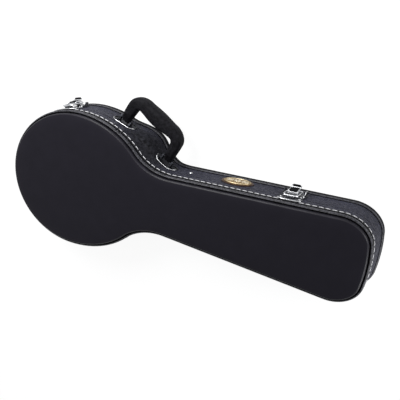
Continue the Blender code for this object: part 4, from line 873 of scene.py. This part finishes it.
def lever_line(count):
    """Outer face of the lever from its crest to its flared end, as distance outward and height."""
    face = LEVER_PIVOT_OUT + LEVER_FACE
    skin = LEVER_THICKNESS * 0.55
    corners = [(face - 2.0 * MM, LEVER_PIVOT_Z + 4.6 * MM + skin), (face - 0.4 * MM + skin, LEVER_PIVOT_Z + 2.9 * MM),
               (face + 0.2 * MM + skin, LEVER_PIVOT_Z - 2.0 * MM), (face + 1.0 * MM + skin, BAIL_PIVOT_Z + 3.0 * MM),
               (face + LEVER_FLARE + skin, BAIL_PIVOT_Z - 0.4 * MM), (LEVER_END[0] + skin * 0.9, LEVER_END[1] + skin * 0.5)]
    return smooth_route(corners, count)


def build_lever_dress(label, place):
    """Rolled rims round the lever, a flat black strip on its face, a painted dark reflection, and a thick black tip on
    its end.
    """
    here = local_frame(place)
    body = label + "_lever"
    line = lever_line(4)

    def strip(points, half, first, last):
        """A pad along part of the lever's face, with its edges drawn in, from one thickness to another."""
        rings = []
        for i, (out, z) in enumerate(points):
            thick = first + (last - first) * i / (len(points) - 1)
            before, after = points[max(i - 1, 0)], points[min(i + 1, len(points) - 1)]
            run = Vector((after[0] - before[0], after[1] - before[1])).normalized()
            lift = Vector((-run.y, run.x))
            width = half * (0.9 if i in (0, len(points) - 1) else 1.0)
            ring = []
            for x, rise in ((-width, -0.1 * MM), (-width * 0.96, thick * 0.8), (-width * 0.85, thick),
                            (width * 0.85, thick), (width * 0.96, thick * 0.8), (width, -0.1 * MM)):
                ring.append(here @ Vector((x, out + lift.x * rise, z + lift.y * rise)))
            rings.append(ring)
        return rings, False

    half = LEVER_HALF_WIDTH - 0.8 * MM
    # Black strip over the lever's face: painted dark reflection
    painted_reflection_strip = strip(line[2:14], half, 0.4 * MM, 0.7 * MM)
    tip = strip(line[17:], half, 1.6 * MM, 2.8 * MM)
    pad = many(f"lever_{label}_pad", [painted_reflection_strip, tip], TIP, body, sharp=50)
    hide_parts("latch_grip_" + label)

    parts = []
    for sign in (-1, 1):
        route = [here @ Vector((sign * LEVER_HALF_WIDTH, out, z)) for out, z in line]
        parts.append((tube_rings(route, 0.75 * MM, 10), False))
    for (out, z), radius in ((line[0], 0.8 * MM), (line[15], 1.5 * MM)):
        across = [here @ Vector((x, out, z)) for x in spread(-LEVER_HALF_WIDTH, LEVER_HALF_WIDTH, 5)]
        parts.append((tube_rings(across, radius, 10), False))
    many(f"lever_{label}_rims", parts, CHROME, body, sharp=80)


def rounded_route(place, half, low, high, radius):
    """Closed route of a rounded rectangle pressed in a plate on the side."""
    spots = []
    corners = ((half - radius, high - radius, 0), (-half + radius, high - radius, 90),
               (-half + radius, low + radius, 180), (half - radius, low + radius, 270))
    for s, z, start in corners:
        for a in (0, 30, 60, 90):
            t = math.radians(start + a)
            spots.append(side_point(place + s + radius * math.cos(t), PLATE_FACE, z + radius * math.sin(t)))
    return spots + [spots[0]]


def build_handle():
    """The moulded handle, finer than the solid, with its parting line."""
    place, half = handle_frame()
    route = smooth_route(handle_route(half), 4)
    count = 32
    rings = []
    for i, (x, y, thickness, depth) in enumerate(route):
        before = route[max(i - 1, 0)]
        after = route[min(i + 1, len(route) - 1)]
        run = Vector((after[0] - before[0], after[1] - before[1], 0.0)).normalized()
        across = Vector((-run.y, run.x, 0.0))
        share = min(max(0.5 + x / (2 * HANDLE_TOP_HALF), 0.0), 1.0)
        outer = OUTER_SKIN["tail"] + (OUTER_SKIN["head"] - OUTER_SKIN["tail"]) * share
        outer *= min(max(y / SKIN_RISE, 0.0), 1.0)
        trim = INNER_TRIM * max(math.cos(math.pi * (share - 0.5)), 0.0) ** 2
        stretch = 1.0 + (outer - trim) / thickness
        ring = []
        for k in range(count):
            a = 2 * math.pi * (k + 0.5) / count
            u = math.copysign(abs(math.cos(a)) ** SECTION_POWER, math.cos(a)) * thickness / 2 * stretch
            u += (outer + trim) / 2
            w = math.copysign(abs(math.sin(a)) ** SECTION_POWER, math.sin(a)) * depth / 2
            ring.append(place @ (Vector((x, y, 0.0)) + across * u + Vector((0.0, 0.0, w))))
        rings.append(ring)
    made = many("handle_moulding", [(rings, False)], HANDLE, "handle", sharp=55)
    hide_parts("handle_grip")

    seam = [place @ Vector((x, y, depth / 2 + PARTING_LIFT)) for x, y, _, depth in route[16:-16]]
    many("handle_parting_line", [(tube_rings(seam, 0.28 * MM, 6), False)], HANDLE, "handle", sharp=80)


def spread(start, end, count):
    """Evenly spaced values, ends included."""
    return [start + (end - start) * i / (count - 1) for i in range(count)]


def handle_frame():
    """Frame of the handle and half the distance of its pivots, found as in the part."""
    front = -WALL_INSET + GAP + BORE_CLEARANCE + PLATE_THICKNESS
    outs = dict(HANDLE_PIVOT_CLEARANCE)
    for _ in range(12):
        ends = [side_point(s, outs[label], HANDLE_Z) for label, s in HANDLE_PLATES.items()]
        along = (ends[1] - ends[0]).normalized()
        outward = Vector((-along.y, along.x, 0.0))
        turn = Matrix((along, outward, Vector((0.0, 0.0, 1.0)))).transposed()
        place = Matrix.Translation((ends[0] + ends[1]) / 2) @ turn.to_4x4()
        back = place.inverted()
        for label, s in HANDLE_PLATES.items():
            across = spread(-LEG_WIDTH / 2, LEG_WIDTH / 2, 5)
            under = [(back @ side_point(s + d, front, HANDLE_Z)).y for d in across]
            outs[label] += HANDLE_PIVOT_CLEARANCE[label] + max(under)
    return place, (ends[1] - ends[0]).length / 2


def handle_route(half):
    """Centre line of the handle in its frame, with the section's thickness and depth at each point."""
    corner = HANDLE_CORNER
    knee = HANDLE_REACH - corner
    low = 0.2 * HANDLE_REACH
    route = [(-FOOT_DROP, LEG_WIDTH * 0.82, FOOT_DEPTH * 0.5),
             (-FOOT_DROP * 0.55, LEG_WIDTH * 0.9, FOOT_DEPTH * 0.85),
             (0.0, LEG_WIDTH, FOOT_DEPTH),
             (low * 0.4, LEG_WIDTH, FOOT_DEPTH * 1.35),
             (low, LEG_WIDTH, LEG_DEPTH * 0.86),
             (low * 1.8, LEG_WIDTH, LEG_DEPTH),
             (knee, KNEE_WIDTH, LEG_DEPTH)]
    found = [(-half - (HANDLE_TOP_HALF - half) * rise / HANDLE_REACH, rise, width, depth)
             for rise, width, depth in route]
    for a in (30, 60):
        t = math.radians(a)
        x = -HANDLE_TOP_HALF + corner * (1 - math.cos(t)) - GRIP_BELLY * (1 - a / 90)
        y = knee + corner * math.sin(t)
        found.append((x, y, (KNEE_WIDTH + END_THICKNESS) / 2, (LEG_DEPTH + END_DEPTH) / 2))
    start = -HANDLE_TOP_HALF + corner
    for x in spread(start, 0.0, 5):
        swelling = math.cos(math.pi / 2 * x / start) ** GRIP_SWELL_POWER
        thickness = END_THICKNESS + (GRIP_THICKNESS - END_THICKNESS) * swelling
        depth = END_DEPTH + (GRIP_DEPTH - END_DEPTH) * swelling
        sag = (thickness - END_THICKNESS) / 2 - GRIP_BELLY * swelling
        found.append((x, HANDLE_REACH - sag, thickness, depth))
    found += [(-x, y, t, d) for x, y, t, d in reversed(found[:-1])]
    return [(x + HANDLE_SHIFT * max(y, 0.0) / HANDLE_REACH, y, t, d) for x, y, t, d in found]


def smooth_route(route, parts):
    """Points on a smooth curve through a route's rows of numbers."""
    found = []
    for i in range(len(route) - 1):
        p0, p1 = route[max(i - 1, 0)], route[i]
        p2, p3 = route[i + 1], route[min(i + 2, len(route) - 1)]
        for k in range(parts):
            t = k / parts
            row = []
            for a, b, c, d in zip(p0, p1, p2, p3):
                row.append(0.5 * (2 * b + (c - a) * t + (2 * a - 5 * b + 4 * c - d) * t * t
                                  + (3 * b - a - 3 * c + d) * t ** 3))
            found.append(tuple(row))
    return found + [route[-1]]


def build_handle_plates():
    """Rolled rims and rivets of the handle's plates. The rim is bright chrome on the lid's side alone, a painted
    highlight, and dark plate elsewhere, painted shade; the rivets are dark plate, a painted dark reflection.
    """
    for label, place in HANDLE_PLATES.items():
        half = HANDLE_PLATE_HALF_LENGTH + 1.2 * MM
        tall = HANDLE_PLATE_HALF_HEIGHT + 2.4 * MM
        out = PLATE_FACE + 0.1 * MM
        route = []
        for sign in (1, -1):
            for a in spread(-90, 90, 13):
                t = math.radians(a)
                s = place + sign * (half - tall + tall * math.cos(t))
                route.append(side_point(s, out, HANDLE_Z + sign * tall * math.sin(t)))
            for share in (0.33, 0.67):
                s = place + sign * (half - tall) * (1 - 2 * share)
                route.append(side_point(s, out, HANDLE_Z + sign * tall))
        rings = tube_rings(route + route[:2], 0.85 * MM, 10)[1:-1]
        # Rim points above this height are bright chrome, a painted highlight; the rest is dark plate, painted shade
        high = [i for i, spot in enumerate(route[1:]) if spot.z > HANDLE_Z + RIM_HIGHLIGHT_ABOVE]
        bright = rings[high[0]:high[-1] + 1]
        dark = rings[high[-1]:] + rings[:high[0] + 1]
        many(f"handle_plate_{label}_rim", [(bright, False)], CHROME, CASE, sharp=80)
        many(f"handle_plate_{label}_rim_dark", [(dark, False)], SHADE_PLATE, CASE, sharp=80)
        rivets = [rivet(place + s, HANDLE_Z, 2.6 * MM, 1.5 * MM, PLATE_FACE + 0.1 * MM)
                  for s in (-18.5 * MM, 18.5 * MM)]
        many(f"handle_plate_{label}_rivets", rivets, SHADE_PLATE, CASE, sharp=50)
        build_flange(label, place, half, tall)


def build_flange(label, place, half, tall):
    """Thin dark flange that runs from the handle's plate out to its rim, in dark plate: a painted dark reflection."""
    rings = []
    for t in spread(-1.0, 1.0, 31):
        s = t * half
        over = max(abs(s) - (half - tall), 0.0)
        reach = math.sqrt(max(tall * tall - over * over, (0.6 * MM) ** 2))
        outline = ((-0.75 * MM, -reach), (-0.75 * MM, reach), (0.1 * MM, reach), (0.1 * MM, -reach))
        rings.append([side_point(place + s, out, HANDLE_Z + z) for out, z in outline])
    many(f"handle_plate_{label}_flange", [(rings, False)], SHADE_PLATE, CASE, sharp=50)


def build_badge():
    """Raised border, a rosette and two leafy sprays on the badge."""
    here = local_frame(BADGE_PLACE)
    back = here.inverted()
    medallion = frame["nodes"]["badge_medallion"]
    work = bmesh.new()
    work.from_mesh(medallion.data)
    work.transform(back @ medallion.matrix_world)
    tree = BVHTree.FromBMesh(work)
    work.free()

    def spot(u, v, rise):
        """A point over the badge's face, in its own length and height."""
        hit = tree.ray_cast(Vector((u, 30 * MM, BADGE_Z + v)), Vector((0.0, -1.0, 0.0)))[0]
        ground = hit.y if hit else 0.4 * MM
        return here @ Vector((u, ground + rise, BADGE_Z + v))

    def leaf(u, v, length, width, angle):
        """A pointed leaf from a stalk end, with a raised middle."""
        along = Vector((math.cos(angle), math.sin(angle)))
        across = Vector((-along.y, along.x))
        rings = []
        for scale, rise in ((1.0, -0.2 * MM), (0.92, 0.3 * MM), (0.5, 0.6 * MM)):
            ring = []
            for side, steps in ((1, range(0, 5)), (-1, range(4, 0, -1))):
                for k in steps:
                    t = k / 4 if side > 0 else k / 4
                    bulge = side * width / 2 * math.sin(math.pi * t) * scale
                    reach = length * (0.5 + (t - 0.5) * scale)
                    p = Vector((u, v)) + along * reach + across * bulge
                    ring.append(spot(p.x, p.y, rise))
            rings.append(ring[:4] + ring[4:5] + ring[5:] if side else ring)
        return rings, False

    rings = []
    for scale, radius in ((0.93, 0.6 * MM), (0.80, 0.35 * MM)):
        route = []
        for i in range(48):
            a = 2 * math.pi * i / 48
            route.append(spot(BADGE_HALF_LENGTH * scale * math.cos(a), BADGE_HALF_HEIGHT * scale * math.sin(a), 0.1 * MM))
        rings.append((tube_rings(route, radius, 8), True))
    many("badge_border_rings", rings, PALE_GOLD, CASE, sharp=80)

    field = [leaf(1.6 * MM * math.cos(a), 1.6 * MM * math.sin(a), 5.6 * MM, 3.2 * MM, a)
             for a in (math.radians(d) for d in range(0, 360, 45))]
    for sign in (-1, 1):
        for k, reach in enumerate((7.4, 6.8, 5.6, 4.0)):
            u = sign * (8.2 + 3.7 * k) * MM
            for lean in (-1, 1):
                angle = math.radians(48) * lean
                field.append(leaf(u, 0.5 * MM * lean, reach * MM, 2.5 * MM, angle if sign > 0 else math.pi - angle))
    many("badge_leaves", field, LEAF_GOLD, CASE, sharp=40)


def build_feet():
    """Low domed rubber bumpers on the hinge side, each with a sunk screw."""
    for label, place in FOOT_PLACES.items():
        base = side_point(place, -WALL_INSET + GAP, FOOT_Z, -1)
        axis = base - side_point(place, -10 * MM, FOOT_Z, -1)
        along = axis.normalized()
        turn = along.to_track_quat("Z", "Y").to_matrix()
        profile = ((0.0, 1.0), (0.9, 1.0), (2.2, 0.95), (3.3, 0.82), (3.9, 0.62), (3.9, 0.42), (2.6, 0.38), (2.5, 0.05))
        rings = []
        for rise, share in profile:
            turns = [2 * math.pi * i / 32 for i in range(32)]
            rings.append([base + along * (rise * MM) + turn @ Vector((math.cos(a), math.sin(a), 0.0))
                          * (FOOT_RADIUS * share) for a in turns])
        made = many(f"side_bumper_{label}", [(rings, False)], TIP, CASE, sharp=45)
        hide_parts("side_foot_" + label)
        head = dome_rings(base + along * 2.4 * MM, along, 2.4 * MM, 0.9 * MM)
        many(f"side_bumper_{label}_screw", [(head, False)], STEEL, CASE, sharp=50)


def build_hinge_screws():
    """Domed rivets in the hinge leaves."""
    for prefix, up, body in (("hinge_lower_", -1, CASE), ("hinge_upper_", 1, LID)):
        for label in ("body", "head"):
            low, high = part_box(prefix + label)
            parts = []
            for share in (0.18, 0.5, 0.82):
                x = low[0] + (high[0] - low[0]) * share
                s = arc_at_x(x)
                z = SEAM + up * 9.6 * MM
                spot = side_point(s, PLATE_FACE, z, -1)
                axis = spot - side_point(s, -5 * MM, z, -1)
                parts.append((dome_rings(spot, axis, 2.0 * MM, 1.2 * MM), False))
            many(prefix + label + "_rivets", parts, STEEL, body, sharp=50)


def arc_at_x(x):
    """Arc position where the outline reaches a length along X."""
    for i in range(len(SIDE.points) - 1):
        if SIDE.points[i].x <= x < SIDE.points[i + 1].x:
            t = (x - SIDE.points[i].x) / (SIDE.points[i + 1].x - SIDE.points[i].x)
            return SIDE.arc[i] + t * (SIDE.arc[i + 1] - SIDE.arc[i])
    return SIDE.length


# Stage

def seen_directly(tree, others):
    """Output that is one for camera rays and for some other kinds of ray."""
    path = tree.nodes.new("ShaderNodeLightPath")
    total = path.outputs["Is Camera Ray"]
    for ray in others:
        most = tree.nodes.new("ShaderNodeMath")
        most.operation = "MAXIMUM"
        tree.links.new(total, most.inputs[0])
        tree.links.new(path.outputs[ray], most.inputs[1])
        total = most.outputs[0]
    return total


def build_floor():
    """A white floor that lights the case as pale paper does and still takes its shadow."""
    half = 4.0
    mesh = bpy.data.meshes.new("studio_floor")
    mesh.from_pydata([(-half, -half, 0), (half, -half, 0), (half, half, 0), (-half, half, 0)], [], [(0, 1, 2, 3)])
    floor = bpy.data.objects.new("studio_floor", mesh)
    floor.location.z = -0.4 * MM
    bpy.context.collection.objects.link(floor)
    material = bpy.data.materials.new("studio_paper")
    material.use_nodes = True
    tree = material.node_tree
    tree.nodes.clear()
    paper = tree.nodes.new("ShaderNodeBsdfDiffuse")
    paper.inputs["Color"].default_value = (0.8, 0.8, 0.8, 1.0)
    seen = tree.nodes.new("ShaderNodeBsdfDiffuse")
    seen.inputs["Color"].default_value = (0.22, 0.22, 0.22, 1.0)
    glow = tree.nodes.new("ShaderNodeEmission")
    glow.inputs["Strength"].default_value = 0.90
    both = tree.nodes.new("ShaderNodeAddShader")
    mix = tree.nodes.new("ShaderNodeMixShader")
    output = tree.nodes.new("ShaderNodeOutputMaterial")
    tree.links.new(seen.outputs[0], both.inputs[0])
    tree.links.new(glow.outputs[0], both.inputs[1])
    tree.links.new(seen_directly(tree, ("Is Transmission Ray",)), mix.inputs["Fac"])
    tree.links.new(paper.outputs[0], mix.inputs[1])
    tree.links.new(both.outputs[0], mix.inputs[2])
    tree.links.new(mix.outputs[0], output.inputs["Surface"])
    mesh.materials.append(material)


def build_world():
    """A dim even sky for light, and white where it is seen directly."""
    world = bpy.data.worlds.new("studio_sky")
    bpy.context.scene.world = world
    world.use_nodes = True
    tree = world.node_tree
    tree.nodes.clear()
    dim = tree.nodes.new("ShaderNodeBackground")
    dim.inputs["Color"].default_value = (0.97, 0.98, 1.0, 1.0)
    dim.inputs["Strength"].default_value = 0.3
    bright = tree.nodes.new("ShaderNodeBackground")
    bright.inputs["Color"].default_value = (1.0, 1.0, 1.0, 1.0)
    bright.inputs["Strength"].default_value = 1.0
    mix = tree.nodes.new("ShaderNodeMixShader")
    output = tree.nodes.new("ShaderNodeOutputWorld")
    tree.links.new(seen_directly(tree, ("Is Glossy Ray", "Is Transmission Ray")), mix.inputs["Fac"])
    tree.links.new(dim.outputs[0], mix.inputs[1])
    tree.links.new(bright.outputs[0], mix.inputs[2])
    tree.links.new(mix.outputs[0], output.inputs["Surface"])


def add_lamp(name, place, target, size, power, spread_angle=180):
    """A square soft light aimed at a point."""
    data = bpy.data.lights.new(name, "AREA")
    data.spread = math.radians(spread_angle)
    data.shape = "SQUARE"
    data.size = size
    data.energy = power
    lamp = bpy.data.objects.new(name, data)
    lamp.location = place
    lamp.rotation_euler = (Vector(target) - Vector(place)).to_track_quat("-Z", "Y").to_euler()
    bpy.context.collection.objects.link(lamp)


def build_lamps():
    """Soft light from above the tail and the handle side, low light along the edge, and one beyond the head."""
    add_lamp("key_light", (-0.15, 0.55, 0.75), (0.02, 0.02, 0.1), 0.5, 5.2)
    add_lamp("edge_light", (-0.25, 1.3, 0.42), (0.2, 0.1, 0.08), 0.5, 6.2)
    add_lamp("head_light", (1.6, 0.6, 0.38), (0.5, 0.0, 0.05), 0.6, 6.0)
    add_lamp("floor_light", (0.80, -0.10, 0.10), (0.69, -0.05, 0.0), 0.15, 0.25, 140)


def build_camera():
    """The camera that was fitted to the photograph."""
    data = bpy.data.cameras.new("photo_camera")
    data.lens = CAMERA_LENS
    data.sensor_width = SENSOR_WIDTH
    data.shift_x, data.shift_y = CAMERA_SHIFT
    data.clip_start = 0.01
    data.clip_end = 20.0
    camera = bpy.data.objects.new("photo_camera", data)
    turn = Matrix((CAMERA_RIGHT, -CAMERA_DOWN, -CAMERA_FORWARD)).transposed()
    camera.matrix_world = Matrix.Translation(CAMERA_PLACE) @ turn.to_4x4()
    bpy.context.collection.objects.link(camera)
    bpy.context.scene.camera = camera


build_shells()
build_bindings()
build_shade_cords()
build_stitches()
build_lining()
build_interior()
dress_nodes()
for latch_label, latch_place in LATCH_PLACES.items():
    build_latch(latch_label, latch_place)
build_handle()
build_handle_plates()
build_badge()
build_hinge_screws()
build_feet()
build_floor()
build_world()
build_lamps()
build_camera()
bpy.context.scene.view_settings.view_transform = "Standard"
